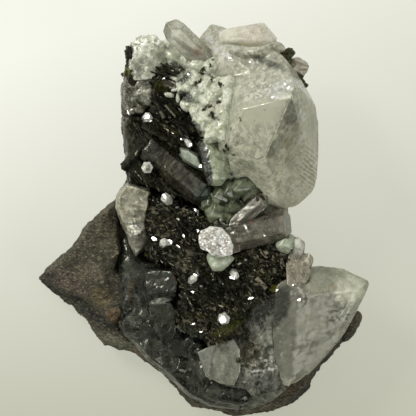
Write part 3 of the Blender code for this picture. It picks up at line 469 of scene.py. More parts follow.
def epidote(name, dark, olive, beige=0.5, gloss=0.17, rough=(0.1, 0.3), patches=(), warm=()):
    """Glossy near-black blades: each is a little greener or more beige than the next.

    warm lists the places where most of the blades are beige: (pixel, reach, turn).
    """
    material, tree, shader, place = new_material(name)
    own = add(tree, "ShaderNodeAttribute", attribute_name="blade_tone").outputs["Fac"]
    drift = add(tree, "ShaderNodeTexNoise", {"Vector": place, "Scale": 420.0, "Detail": 4.0}).outputs["Fac"]
    greener = maths(tree, "MULTIPLY", between(tree, own, 0.6, 1.0), between(tree, drift, 0.42, 0.66))
    tone = mixed(tree, colour(*dark), colour(*olive), greener)
    amount = beige
    for at, reach, turn in warm:
        amount = maths(tree, "ADD", patch_mask(tree, place, at, reach, turn, soft=0.6, ragged=0.8), amount)
    picked = maths(tree, "MULTIPLY", between(tree, own, 0.05, 0.12), between(tree, own, 0.42, 0.2))
    tone = mixed(
        tree, tone, colour(0.17, 0.15, 0.105),
        maths(tree, "MINIMUM", maths(tree, "MULTIPLY", picked, amount), 1.0),
    )
    tone, dull = tinted(tree, place, tone, None, patches)
    fine = add(tree, "ShaderNodeTexNoise", {"Vector": place, "Scale": 2600.0, "Detail": 2.0}).outputs["Fac"]
    tone = shaded(tree, tone, between(tree, fine, 0.3, 0.7, 0.6, 1.35))
    join(
        tree, shader, Base_Color=tone, Roughness=between(tree, own, 0.0, 1.0, rough[0], rough[1]),
        IOR=1.74, Specular_IOR_Level=gloss, Specular_Tint=(1.0, 0.97, 0.78, 1.0),
        Normal=bump(tree, fine, 0.02 * MM),
    )
    return material


def prehnite(
    name, pale, deep, dust=0.3, mottle=0.3, threads=0.3, clear=0.2, depth=1.2, relief=0.07, sparkle=0.0,
    patches=(),
):
    """Waxy and pale green: light goes a little way in, under dark dust and fine pale threads."""
    material, tree, shader, place = new_material(name)
    inner = add(
        tree, "ShaderNodeGroup", {"Vector": place, "Scale": 520.0}, node_tree=VEILS,
    ).outputs
    tone = mixed(tree, colour(*deep), colour(*pale), inner["Cloud"])
    tone, dull = tinted(tree, place, tone, None, patches)
    tone = shaded(tree, tone, between(tree, inner["Mottle"], 0.0, 1.0, 1.0 - mottle, 1.0 + 0.6 * mottle))
    tone = mixed(tree, tone, colour(0.8, 0.82, 0.7), maths(tree, "MULTIPLY", inner["Threads"], threads))
    tone = mixed(tree, tone, colour(0.035, 0.04, 0.015), maths(tree, "MULTIPLY", inner["Specks"], dust))
    skin = add(
        tree, "ShaderNodeGroup",
        {"Vector": place, "Wave Scale": 900.0, "Pits": 0.6, "Pit Scale": 3000.0}, node_tree=SKIN,
    ).outputs
    normal = bump(tree, skin["Height"], relief * MM)
    if sparkle:
        normal = add(
            tree, "ShaderNodeGroup",
            {"Vector": place, "Normal": normal, "Scale": 1500.0, "Tilt": sparkle}, node_tree=FACETS,
        ).outputs["Normal"]
    join(
        tree, shader, Base_Color=tone, Roughness=between(tree, inner["Cloud"], 0.0, 1.0, 0.2, 0.4),
        IOR=1.63, Subsurface_Weight=0.7, Subsurface_Radius=(1.0, 1.05, 0.8), Subsurface_Scale=depth * MM,
        Transmission_Weight=clear, Normal=normal,
    )
    return material


# The rock's weathered stains, and painted shadow in its grooves and under the wing's lower edge.
BASALT_STAINS_AND_PAINTED_SHADE = [
    patch((70, 284), (22, 9), (0.085, 0.058, 0.047), turn=-38, strength=0.7),
    patch((101, 296), (11, 8), (0.115, 0.095, 0.035), turn=-20, strength=0.75),
    patch((115, 316), (8, 9), (0.13, 0.075, 0.03), strength=0.8),
    patch((55, 285), (5, 4), (0.10, 0.045, 0.03), strength=0.6),
    patch((126, 244), (4, 9), (0.11, 0.055, 0.03), strength=0.7),
    patch((129, 290), (3, 12), (0.14, 0.07, 0.025), strength=0.8),
    # Painted shadow in the dark grooves where the quartz meets the rock.
    patch((119, 213), (4, 15), (0.012, 0.011, 0.009), turn=-6, strength=0.85),
    patch((121, 287), (4, 20), (0.016, 0.014, 0.01), turn=-18, strength=0.8),
    patch((76, 304), (36, 5.5), (0.042, 0.047, 0.032), turn=-33, strength=0.85, soft=0.5),
    # Painted shadow under the wing's lower edge.
    patch((97, 318), (14, 4), (0.010, 0.009, 0.007), turn=-42, strength=0.85, ragged=0.6),
    patch((118, 329), (16, 4), (0.014, 0.013, 0.009), turn=-14, strength=0.85, ragged=0.6),
    patch((90, 272), (14, 10), (0.12, 0.10, 0.065), turn=-30, strength=0.5, ragged=0.8),
    patch((76, 246), (18, 6), (0.05, 0.045, 0.028), turn=40, strength=0.6, ragged=0.8),
    patch((140, 353), (12, 4), (0.16, 0.10, 0.055), turn=-30, strength=0.7),
    patch((165, 366), (14, 3), (0.19, 0.095, 0.045), turn=-42, strength=0.8),
    patch((182, 386), (12, 3), (0.14, 0.08, 0.04), turn=-48, strength=0.7),
    patch((292, 390), (10, 4), (0.13, 0.08, 0.045), turn=35, strength=0.6),
    patch((115, 342), (20, 5), (0.16, 0.17, 0.11), turn=-22, strength=0.7),
    patch((210, 398), (26, 6), (0.045, 0.045, 0.03), turn=-12, strength=0.7),
    patch((125, 130), (4, 40), (0.06, 0.056, 0.042), strength=0.7),
    patch((335, 360), (36, 6), (0.022, 0.022, 0.015), turn=50, strength=0.85, soft=0.5),
    patch((308, 394), (24, 6), (0.026, 0.024, 0.017), turn=36, strength=0.8, soft=0.5),
    patch((46, 282), (10, 10), (0.028, 0.023, 0.015), strength=0.6),
    patch((78, 318), (20, 4), (0.026, 0.026, 0.018), turn=-38, strength=0.5),
]


# Where the rock is darker: (pixel, reach, turn, amount).
ROCK_SHADE = [
    ((335, 360), (40, 9), 50, 0.5), ((304, 397), (30, 8), 34, 0.4), ((46, 282), (13, 13), 0, 0.3),
    ((76, 308), (40, 6), -33, 0.35), ((210, 400), (40, 6), -6, 0.3),
]


def basalt():
    """Rough grey-brown rock with pale laths in it and its weathered stains, with painted shadow in its
    grooves and under its lower edge, painted light on its sharp edges and painted shade in its creases.
    """
    material, tree, shader, place = new_material("basalt")
    broad = add(
        tree, "ShaderNodeTexNoise", {"Vector": place, "Scale": 260.0, "Detail": 6.0, "Roughness": 0.65},
    ).outputs["Fac"]
    tone = mixed(
        tree, colour(0.032, 0.028, 0.015), colour(0.088, 0.077, 0.044), between(tree, broad, 0.34, 0.66))
    tone, dull = tinted(tree, place, tone, None, BASALT_STAINS_AND_PAINTED_SHADE)
    laths = add(
        tree, "ShaderNodeMapping", {"Vector": place, "Rotation": (0, 0, math.radians(-35)),
                                    "Scale": (0.55, 1.0, 1.0)},
    ).outputs[0]
    grain = add(
        tree, "ShaderNodeTexNoise",
        {"Vector": laths, "Scale": 2300.0, "Detail": 4.0, "Roughness": 0.8, "Distortion": 0.5},
    ).outputs["Fac"]
    grit = add(tree, "ShaderNodeTexVoronoi", {"Vector": laths, "Scale": 2400.0})
    picked = add(tree, "ShaderNodeSeparateColor", {0: grit.outputs["Color"]}).outputs[0]
    pale = maths(tree, "MULTIPLY", between(tree, picked, 0.58, 0.8), between(
        tree, grit.outputs["Distance"], 0.6, 0.2))
    tone = mixed(tree, tone, colour(0.008, 0.007, 0.005), between(tree, grain, 0.5, 0.38, 0.0, 0.9))
    tone = mixed(tree, tone, colour(0.26, 0.23, 0.15), between(tree, grain, 0.54, 0.68, 0.0, 0.6))
    tone = mixed(tree, tone, colour(0.25, 0.215, 0.135), maths(tree, "MULTIPLY", pale, 0.65))
    edges = add(tree, "ShaderNodeGroup", {"Spread": 0.12}, node_tree=EDGES).outputs
    # Painted light on sharp edges and painted shade in creases.
    painted_edge_light_and_crease_shade = maths(tree, "SUBTRACT", maths(tree, "MULTIPLY", edges["Edge"], 0.9), maths(
        tree, "MULTIPLY", edges["Crease"], 0.7))
    tone = shaded(tree, tone, maths(tree, "ADD", 1.0, painted_edge_light_and_crease_shade))
    for at, reach, turn, amount in ROCK_SHADE:
        mask = patch_mask(tree, place, at, reach, turn, soft=0.5)
        tone = shaded(tree, tone, maths(tree, "SUBTRACT", 1.0, maths(tree, "MULTIPLY", mask, amount)))
    height = maths(tree, "ADD", grain, maths(tree, "MULTIPLY", pale, 0.3))
    join(
        tree, shader, Base_Color=tone, Roughness=between(tree, grain, 0.3, 0.7, 0.9, 0.5),
        Normal=bump(tree, height, 0.45 * MM),
    )
    return material


def plain(name, tone, roughness, ior=1.5, **more):
    """A small even piece, with a faint drift in its colour."""
    material, tree, shader, place = new_material(name)
    drift = add(tree, "ShaderNodeTexNoise", {"Vector": place, "Scale": 1500.0, "Detail": 3.0}).outputs["Fac"]
    darker = colour(*[0.65 * part for part in tone])
    drifting = mixed(tree, darker, colour(*tone), between(tree, drift, 0.35, 0.6))
    join(tree, shader, Base_Color=drifting, Roughness=roughness, IOR=ior, **more)
    return material


# Shapes


def link(mesh, name):
    made = bpy.data.objects.new(name, mesh)
    bpy.context.scene.collection.objects.link(made)
    return made


def plain_mesh(piece):
    """Turns the piece's modifiers into a plain mesh."""
    graph = bpy.context.evaluated_depsgraph_get()
    made = bpy.data.meshes.new_from_object(piece.evaluated_get(graph))
    old = piece.data
    piece.modifiers.clear()
    piece.data = made
    bpy.data.meshes.remove(old)
    return piece


def solid_of(node, name, lumps=()):
    """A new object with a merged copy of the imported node's mesh, and smaller lumps grown on it.

    A lump is (pixel, height, three half sizes in millimetres, turn in degrees).
    """
    bm = bmesh.new()
    bm.from_mesh(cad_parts[node].data)
    bmesh.ops.remove_doubles(bm, verts=bm.verts[:], dist=1e-6)
    for at, height, sizes, turn in lumps:
        place = Matrix.Translation(spot(*at, height)) @ Matrix.Rotation(math.radians(turn), 4, "Z")
        place = place @ Matrix.Diagonal((sizes[0] * MM, sizes[1] * MM, sizes[2] * MM, 1.0))
        bmesh.ops.create_icosphere(bm, subdivisions=2, radius=1.0, matrix=place)
    mesh = bpy.data.meshes.new(name)
    bm.to_mesh(mesh)
    bm.free()
    return link(mesh, name)


def remeshed(piece, voxel):
    modifier = piece.modifiers.new("remesh", "REMESH")
    modifier.mode = "VOXEL"
    modifier.voxel_size = voxel * MM
    modifier.use_smooth_shade = True
    return plain_mesh(piece)


def softened(piece, places):
    """Rounds the mesh off near some places: (pixel, reach, turn in degrees, passes)."""
    bm = bmesh.new()
    bm.from_mesh(piece.data)
    for at, reach, turn, passes in places:
        middle = spot(*at, 0)
        back = Matrix.Rotation(math.radians(-turn), 4, "Z")
        near = []
        for vert in bm.verts:
            apart = back @ (vert.co - middle)
            if (apart.x / reach[0]) ** 2 + (apart.y / reach[1]) ** 2 < PIXEL ** 2:
                near.append(vert)
        for _ in range(passes):
            bmesh.ops.smooth_vert(
                bm, verts=near, factor=0.5, use_axis_x=True, use_axis_y=True, use_axis_z=True)
    bm.to_mesh(piece.data)
    bm.free()
    return piece


def run_tree(piece, tree, values):
    """Runs a Geometry Nodes tree on the piece with these input values, and keeps the plain mesh."""
    modifier = piece.modifiers.new(tree.name, "NODES")
    modifier.node_group = tree
    identifiers = {
        item.name: item.identifier for item in tree.interface.items_tree if item.in_out == "INPUT"
    }
    for name, value in values.items():
        modifier[identifiers[name]] = value
    return plain_mesh(piece)


def make_relief_tree():
    """Moves a surface along its normals: out by Swell, and in and out by lumps, chips, grains and knobs."""
    tree, given, result = new_group(
        "relief", "GeometryNodeTree",
        [
            ("Geometry", "NodeSocketGeometry", None),
            ("Swell", "NodeSocketFloat", 0.0),
            ("Lump Size", "NodeSocketFloat", 0.003),
            ("Lump Height", "NodeSocketFloat", 0.0),
            ("Chip Size", "NodeSocketFloat", 0.002),
            ("Chip Height", "NodeSocketFloat", 0.0),
            ("Grain Size", "NodeSocketFloat", 0.0006),
            ("Grain Height", "NodeSocketFloat", 0.0),
            ("Knob Size", "NodeSocketFloat", 0.0015),
            ("Knob Height", "NodeSocketFloat", 0.0),
            ("Material", "NodeSocketMaterial", None),
        ],
        [("Geometry", "NodeSocketGeometry")],
    )
    place = add(tree, "GeometryNodeInputPosition").outputs[0]
    total = given["Swell"]
    for size, height, detail in (("Lump Size", "Lump Height", 2.0), ("Grain Size", "Grain Height", 3.0)):
        field = add(
            tree, "ShaderNodeTexNoise",
            {"Vector": place, "Scale": maths(tree, "DIVIDE", 1.0, given[size]), "Detail": detail},
        ).outputs["Fac"]
        centred = maths(tree, "SUBTRACT", field, 0.5)
        total = maths(tree, "ADD", total, maths(tree, "MULTIPLY", centred, given[height]))
    chips = add(
        tree, "ShaderNodeTexVoronoi",
        {"Vector": place, "Scale": maths(tree, "DIVIDE", 1.0, given["Chip Size"])},
        feature="F1",
    )
    step = add(tree, "ShaderNodeSeparateXYZ", {0: chips.outputs["Color"]}).outputs[0]
    total = maths(tree, "ADD", total, maths(
        tree, "MULTIPLY", maths(tree, "SUBTRACT", step, 0.5), given["Chip Height"]))
    knobs = add(
        tree, "ShaderNodeTexVoronoi",
        {"Vector": place, "Scale": maths(tree, "DIVIDE", 1.0, given["Knob Size"]), "Smoothness": 0.25},
        feature="SMOOTH_F1",
    ).outputs["Distance"]
    domed = maths(tree, "SUBTRACT", 0.45, maths(tree, "MULTIPLY", knobs, knobs))
    total = maths(tree, "ADD", total, maths(tree, "MULTIPLY", domed, given["Knob Height"]))
    normal = add(tree, "GeometryNodeInputNormal").outputs[0]
    moved = add(
        tree, "GeometryNodeSetPosition",
        {"Geometry": given["Geometry"], "Offset": vectors(tree, "SCALE", normal, total)},
    ).outputs[0]
    real = add(tree, "GeometryNodeRealizeInstances", {"Geometry": moved}).outputs[0]
    dressed = add(
        tree, "GeometryNodeSetMaterial", {"Geometry": real, "Material": given["Material"]},
    ).outputs[0]
    tree.links.new(dressed, result["Geometry"])
    return tree


def make_blade_tree():
    """Covers the bare part of a surface with flat blades that lie along a flow, each turned its own way.

    The blades carry a number, blade_tone, and so a second run with other sizes leaves them alone.
    """
    tree, given, result = new_group(
        "blades", "GeometryNodeTree",
        [
            ("Geometry", "NodeSocketGeometry", None),
            ("Per Square Millimetre", "NodeSocketFloat", 1.0),
            ("Length", "NodeSocketFloat", 0.0015),
            ("Width", "NodeSocketFloat", 0.0004),
            ("Flow", "NodeSocketVector", (0.7, -0.7, 0.1)),
            ("Wildness", "NodeSocketFloat", 0.6),
            ("Lift", "NodeSocketFloat", 0.3),
            ("Lowest Facing", "NodeSocketFloat", 0.35),
            ("Bare Centre", "NodeSocketVector", (1.0, 1.0, 1.0)),
            ("Bare Reach", "NodeSocketFloat", 0.0),
            ("Seed", "NodeSocketInt", 1),
            ("Material", "NodeSocketMaterial", None),
        ],
        [("Geometry", "NodeSocketGeometry")],
    )
    seed = given["Seed"]

    def scatter(kind, low, high, step):
        first = {"FLOAT_VECTOR": 0, "FLOAT": 2}[kind]
        node = add(
            tree, "FunctionNodeRandomValue",
            {first: low, first + 1: high, "Seed": maths(tree, "ADD", seed, step)}, data_type=kind,
        )
        return node.outputs[0 if kind == "FLOAT_VECTOR" else 1]

    normal = add(tree, "GeometryNodeInputNormal").outputs[0]
    facing = add(tree, "ShaderNodeSeparateXYZ", {0: normal}).outputs[2]
    upward = maths(tree, "GREATER_THAN", facing, given["Lowest Facing"])
    used = add(tree, "GeometryNodeInputNamedAttribute", {"Name": "blade_tone"}, data_type="FLOAT").outputs[0]
    free = maths(tree, "LESS_THAN", used, 0.01)
    place = add(tree, "GeometryNodeInputPosition").outputs[0]
    away = vectors(tree, "LENGTH", vectors(tree, "SUBTRACT", place, given["Bare Centre"]))
    outside = maths(tree, "GREATER_THAN", away, given["Bare Reach"])
    chosen = maths(tree, "MULTIPLY", maths(tree, "MULTIPLY", upward, free), outside)
    points = add(
        tree, "GeometryNodeDistributePointsOnFaces",
        {"Mesh": given["Geometry"], "Selection": chosen,
         "Density": maths(tree, "MULTIPLY", given["Per Square Millimetre"], 1e6), "Seed": seed},
        distribute_method="RANDOM",
    )
    wild = vectors(tree, "SCALE", scatter("FLOAT_VECTOR", (-1, -1, -1), (1, 1, 1), 1), given["Wildness"])
    lifted = vectors(tree, "SCALE", points.outputs["Normal"], given["Lift"])
    axis = vectors(tree, "ADD", vectors(tree, "ADD", given["Flow"], wild), lifted)
    upright = add(tree, "FunctionNodeAlignRotationToVector", {"Vector": axis}, axis="Z").outputs[0]
    spin = add(
        tree, "FunctionNodeAxisAngleToRotation",
        {"Axis": (0.0, 0.0, 1.0), "Angle": scatter("FLOAT", 0.0, 6.28, 2)},
    ).outputs[0]
    turned = add(
        tree, "FunctionNodeRotateRotation", {"Rotation": upright, "Rotate By": spin}, rotation_space="LOCAL",
    ).outputs[0]
    size = add(
        tree, "ShaderNodeCombineXYZ",
        {0: maths(tree, "MULTIPLY", given["Width"], scatter("FLOAT", 0.6, 1.5, 3)),
         1: maths(tree, "MULTIPLY", given["Width"], scatter("FLOAT", 0.2, 0.5, 4)),
         2: maths(tree, "MULTIPLY", given["Length"], scatter("FLOAT", 0.5, 1.5, 5))},
    ).outputs[0]
    blade = add(
        tree, "GeometryNodeMeshCone",
        {"Vertices": 6, "Side Segments": 1, "Fill Segments": 1, "Radius Top": 0.4, "Radius Bottom": 0.55,
         "Depth": 1.0},
        fill_type="NGON",
    ).outputs["Mesh"]
    chisel = add(
        tree, "GeometryNodeTransform", {"Geometry": blade, "Translation": (0.0, 0.0, -0.5)},
    ).outputs[0]
    placed = add(
        tree, "GeometryNodeInstanceOnPoints",
        {"Points": points.outputs["Points"], "Instance": chisel, "Rotation": turned, "Scale": size},
    ).outputs[0]
    toned = add(
        tree, "GeometryNodeStoreNamedAttribute",
        {"Geometry": placed, "Name": "blade_tone", "Value": scatter("FLOAT", 0.05, 1.0, 6)},
        data_type="FLOAT", domain="INSTANCE",
    ).outputs[0]
    real = add(tree, "GeometryNodeRealizeInstances", {"Geometry": toned}).outputs[0]
    flat = add(tree, "GeometryNodeSetShadeSmooth", {"Geometry": real, "Shade Smooth": False}).outputs[0]
    both = tree.nodes.new("GeometryNodeJoinGeometry")
    tree.links.new(flat, both.inputs[0])
    tree.links.new(given["Geometry"], both.inputs[0])
    dressed = add(
        tree, "GeometryNodeSetMaterial", {"Geometry": both.outputs[0], "Material": given["Material"]},
    ).outputs[0]
    tree.links.new(dressed, result["Geometry"])
    return tree


RELIEF = make_relief_tree()
BLADES = make_blade_tree()


def kept_in_box(piece):
    """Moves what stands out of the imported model's box back to its side."""
    points = np.empty(len(piece.data.vertices) * 3, np.float32)
    piece.data.vertices.foreach_get("co", points)
    points = points.reshape(-1, 3).clip(np.array(CAD_LOW, np.float32), np.array(CAD_HIGH, np.float32))
    piece.data.vertices.foreach_set("co", points.ravel())
    piece.data.update()


def hand_over(piece, slot, *nodes):
    """The finished piece rides on the specimen and stands for these nodes."""
    kept_in_box(piece)
    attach(piece, "root")
    if nodes:
        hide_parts(*nodes)
    return piece


SIZES = {"lump": "Lump", "chip": "Chip", "grain": "Grain", "knob": "Knob"}


def roughened(piece, material, swell, relief):
    """Gives a surface its relief, which holds lump, chip, grain and knob as (size, height)."""
    values = {"Swell": swell * MM, "Material": material}
    for name, (size, height) in relief.items():
        values[SIZES[name] + " Size"] = size * MM
        values[SIZES[name] + " Height"] = height * MM
    run_tree(piece, RELIEF, values)
    piece.data.shade_smooth()
    return piece


def mineral(node, material, slot, voxel, swell=0.15, lumps=(), soft=(), **relief):
    """The node's solid with its lumps, remeshed, rounded off at the soft places, and roughened."""
    piece = remeshed(solid_of(node, node + "_surface", lumps), voxel)
    softened(piece, soft)
    roughened(piece, material, swell, relief)
    return hand_over(piece, slot, node)


def grown_over(piece, material, seed, passes, flow=(0.62, -0.62, 0.1), lift=0.2, facing=0.35, bare=None):
    """Grows blades on the piece. Each pass is (blades per square millimetre, length, width, wildness)."""
    for i, (density, length, width, wildness) in enumerate(passes):
        values = {
            "Per Square Millimetre": density, "Length": length * MM, "Width": width * MM, "Flow": flow,
            "Wildness": wildness, "Lift": lift, "Lowest Facing": facing, "Seed": seed + 7 * i,
            "Material": material,
        }
        if bare is not None:
            values["Bare Centre"] = bare[0]
            values["Bare Reach"] = bare[1] * MM
        run_tree(piece, BLADES, values)
    return piece


def make_basalt():
    mineral(
        "basalt_matrix", basalt(), "basalt", 0.36, swell=0.0,
        lump=(3.2, 0.5), chip=(1.4, 0.3), grain=(0.9, 0.6),
        lumps=[((350.5, 327), 7.5, (1.7, 3.6, 4.0), -30)],
    )


def make_epidote():
    """The two dark masses: a lumpy bed with blades of three sizes on it."""
    upper = epidote(
        "upper_epidote", (0.006, 0.0065, 0.004), (0.03, 0.03, 0.009), beige=0.2, gloss=0.09,
        rough=(0.12, 0.3),
        patches=[
            patch((139, 146), (15, 14), (0.015, 0.016, 0.0105), strength=0.9),
            patch((172, 165), (16, 10), (0.03, 0.028, 0.018), turn=-30, strength=0.35),
            patch((190, 128), (9, 16), (0.004, 0.004, 0.003), strength=0.85),
            patch((160, 86), (6, 6), (0.06, 0.065, 0.015), strength=0.35),
            patch((124, 125), (6, 36), (0.05, 0.046, 0.034), strength=0.8, ragged=0.6),
        ],
        warm=[((172, 130), (10, 4), -40), ((160, 158), (16, 5), -30)],
    )
    lower = epidote(
        "lower_epidote", (0.007, 0.0075, 0.005), (0.05, 0.052, 0.013), beige=0.5, rough=(0.1, 0.3),
        patches=[
            # Painted shade: near-black hollows among the blades.
            patch((183, 227), (8, 8), (0.003, 0.003, 0.002), strength=0.95, soft=0.5),
            patch((212, 285), (22, 13), (0.004, 0.0045, 0.003), strength=0.85, soft=0.6),
            patch((181, 306), (9, 8), (0.006, 0.007, 0.005), strength=0.75, soft=0.6),
            patch((228, 328), (16, 6), (0.08, 0.088, 0.016), turn=25, strength=0.5, ragged=0.8),
            patch((278, 288), (7, 4), (0.26, 0.26, 0.04), turn=12, strength=0.85, ragged=0.8),
            patch((188, 333), (14, 8), (0.03, 0.035, 0.026), strength=0.7),
        ],
        warm=[((158, 226), (14, 11), 0), ((262, 266), (22, 18), 10), ((196, 212), (16, 6), -20),
              ((178, 258), (22, 5), -35), ((215, 310), (20, 6), 0)],
    )
    bed = {"lump": (2.4, 0.9), "chip": (1.3, 0.35)}
    piece = roughened(remeshed(solid_of("upper_epidote", "upper_epidote_blades"), 0.4), upper, 0.05, bed)
    grown_over(
        piece, upper, 11, [(0.35, 4.2, 0.9, 0.35), (1.5, 2.4, 0.45, 0.5), (2.4, 1.3, 0.3, 0.8)],
        facing=0.66, bare=(spot(131, 153, 15), 4.6),
    )
    hand_over(piece, "epidote", "upper_epidote")
    piece = roughened(remeshed(solid_of("lower_epidote", "lower_epidote_blades"), 0.4), lower, 0.05, bed)
    grown_over(piece, lower, 23, [(0.5, 2.4, 0.7, 0.6), (2.4, 1.8, 0.42, 0.8), (3.2, 1.1, 0.3, 1.0)])
    hand_over(piece, "epidote", "lower_epidote")


def make_small_epidote():
    olive = epidote("olive_epidote", (0.03, 0.032, 0.010), (0.14, 0.13, 0.025), beige=0.0, rough=(0.2, 0.4))
    for node in ("side_epidote", "rim_epidote"):
        mineral(node, olive, "epidote", 0.12, swell=0.1, chip=(0.5, 0.1), grain=(0.45, 0.25))
    black = epidote(
        "corner_epidote", (0.010, 0.011, 0.006), (0.05, 0.05, 0.014), beige=0.0,
        patches=[patch((126, 72), (7, 5), (0.11, 0.12, 0.02), strength=0.6)],
    )
    mineral("corner_epidote", black, "epidote", 0.12, swell=-0.1, chip=(0.7, 0.4), grain=(0.5, 0.5))


def make_prehnite():
    column = prehnite(
        "prehnite_column", (0.46, 0.50, 0.36), (0.26, 0.30, 0.195), dust=0.15, mottle=0.2, depth=2.0,
        relief=0.03,
        patches=[
            patch((196, 165), (15, 40), (0.008, 0.009, 0.006), turn=10, strength=0.97, soft=0.1, ragged=0.1),
        ],
    )
    middle = prehnite(
        "prehnite_middle", (0.20, 0.228, 0.132), (0.055, 0.066, 0.036), dust=0.3, mottle=0.2, threads=0.1,
        depth=1.6, relief=0.03,
    )
    knob = prehnite("prehnite_knob", (0.52, 0.57, 0.43), (0.36, 0.41, 0.30), dust=0.02, mottle=0.1, depth=2.0)
    wedge = prehnite("prehnite_wedge", (0.19, 0.21, 0.12), (0.11, 0.126, 0.07), dust=0.2, mottle=0.12)
    plate = prehnite("prehnite_plate", (0.42, 0.47, 0.38), (0.24, 0.28, 0.21), dust=0.05, mottle=0.15)
    crust = prehnite(
        "prehnite_crust", (0.78, 0.79, 0.65), (0.52, 0.55, 0.42), dust=0.5, mottle=0.3, threads=0.4,
        depth=2.2, sparkle=0.25,
        patches=[
            patch((192, 92), (12, 9), (0.5, 0.53, 0.44), strength=0.5),
            patch((214, 108), (9, 8), (0.5, 0.48, 0.36), strength=0.5),
            patch((222, 128), (9, 8), (0.6, 0.64, 0.44), strength=0.5),
            patch((182, 75), (9, 9), (0.015, 0.016, 0.01), strength=0.95, soft=0.3, ragged=0.5),
            patch((186, 97), (10, 5), (0.03, 0.034, 0.028), turn=-28, strength=0.9, soft=0.3),
            patch((193, 132), (9, 11), (0.008, 0.009, 0.006), strength=0.97, soft=0.2, ragged=0.3),
        ],
    )
    mineral(
        "prehnite_column", column, "prehnite", 0.15, swell=0.1, soft=[((218, 155), (22, 38), 0, 45)],
        lump=(2.0, 0.3), grain=(0.7, 0.04),
    )
    mineral(
        "prehnite_middle", middle, "prehnite", 0.16, swell=0.15, knob=(2.2, 0.3), grain=(0.8, 0.06),
        soft=[((246, 188), (22, 20), 0, 16), ((226, 212), (12, 12), 0, 6)],
    )
    mineral(
        "prehnite_knob_right", knob, "prehnite", 0.12, swell=0.15, soft=[((283, 243), (20, 20), 0, 90)],
        lump=(1.6, 0.15), grain=(0.5, 0.06),
    )
    mineral(
        "prehnite_knob_centre", knob, "prehnite", 0.12, swell=0.15, soft=[((219, 260), (20, 20), 0, 90)],
        lump=(1.2, 0.2), grain=(0.5, 0.06),
    )
    mineral(
        "prehnite_wedge", wedge, "prehnite", 0.14, swell=0.12, soft=[((276, 208), (20, 20), 0, 15)],
        lump=(2.0, 0.3),
    )
    mineral("prehnite_plate", plate, "prehnite", 0.1, swell=0.05, lump=(2.0, 0.15), grain=(0.6, 0.05))
    mineral(
        "prehnite_crust", crust, "prehnite", 0.16, swell=0.1, lump=(2.6, 0.35), chip=(1.2, 0.2),
        grain=(0.6, 0.12),
        lumps=[
            ((179, 89), 21.0, (1.7, 0.3, 0.4), 12), ((169, 95), 20.6, (1.0, 0.45, 0.7), -15),
            ((178, 98), 20.8, (0.3, 1.0, 0.6), 0), ((185, 106), 21.6, (1.3, 0.85, 0.9), -52),
            ((196, 114), 23.2, (1.9, 0.95, 1.0), -58), ((187, 88), 22.6, (1.1, 0.9, 0.9), 30),
            ((227, 86), 24.2, (2.4, 1.9, 1.7), 30), ((229, 100), 25.4, (1.5, 2.6, 1.3), -8),
            ((226, 118), 25.0, (1.6, 2.8, 1.4), 10), ((224, 136), 24.8, (1.5, 2.2, 1.6), 10),
            ((212, 66), 22.2, (2.3, 1.5, 1.5), 20), ((200, 66), 21.8, (2.2, 1.2, 1.3), -10),
        ],
        soft=[((227, 112), (9, 36), 0, 6)],
    )


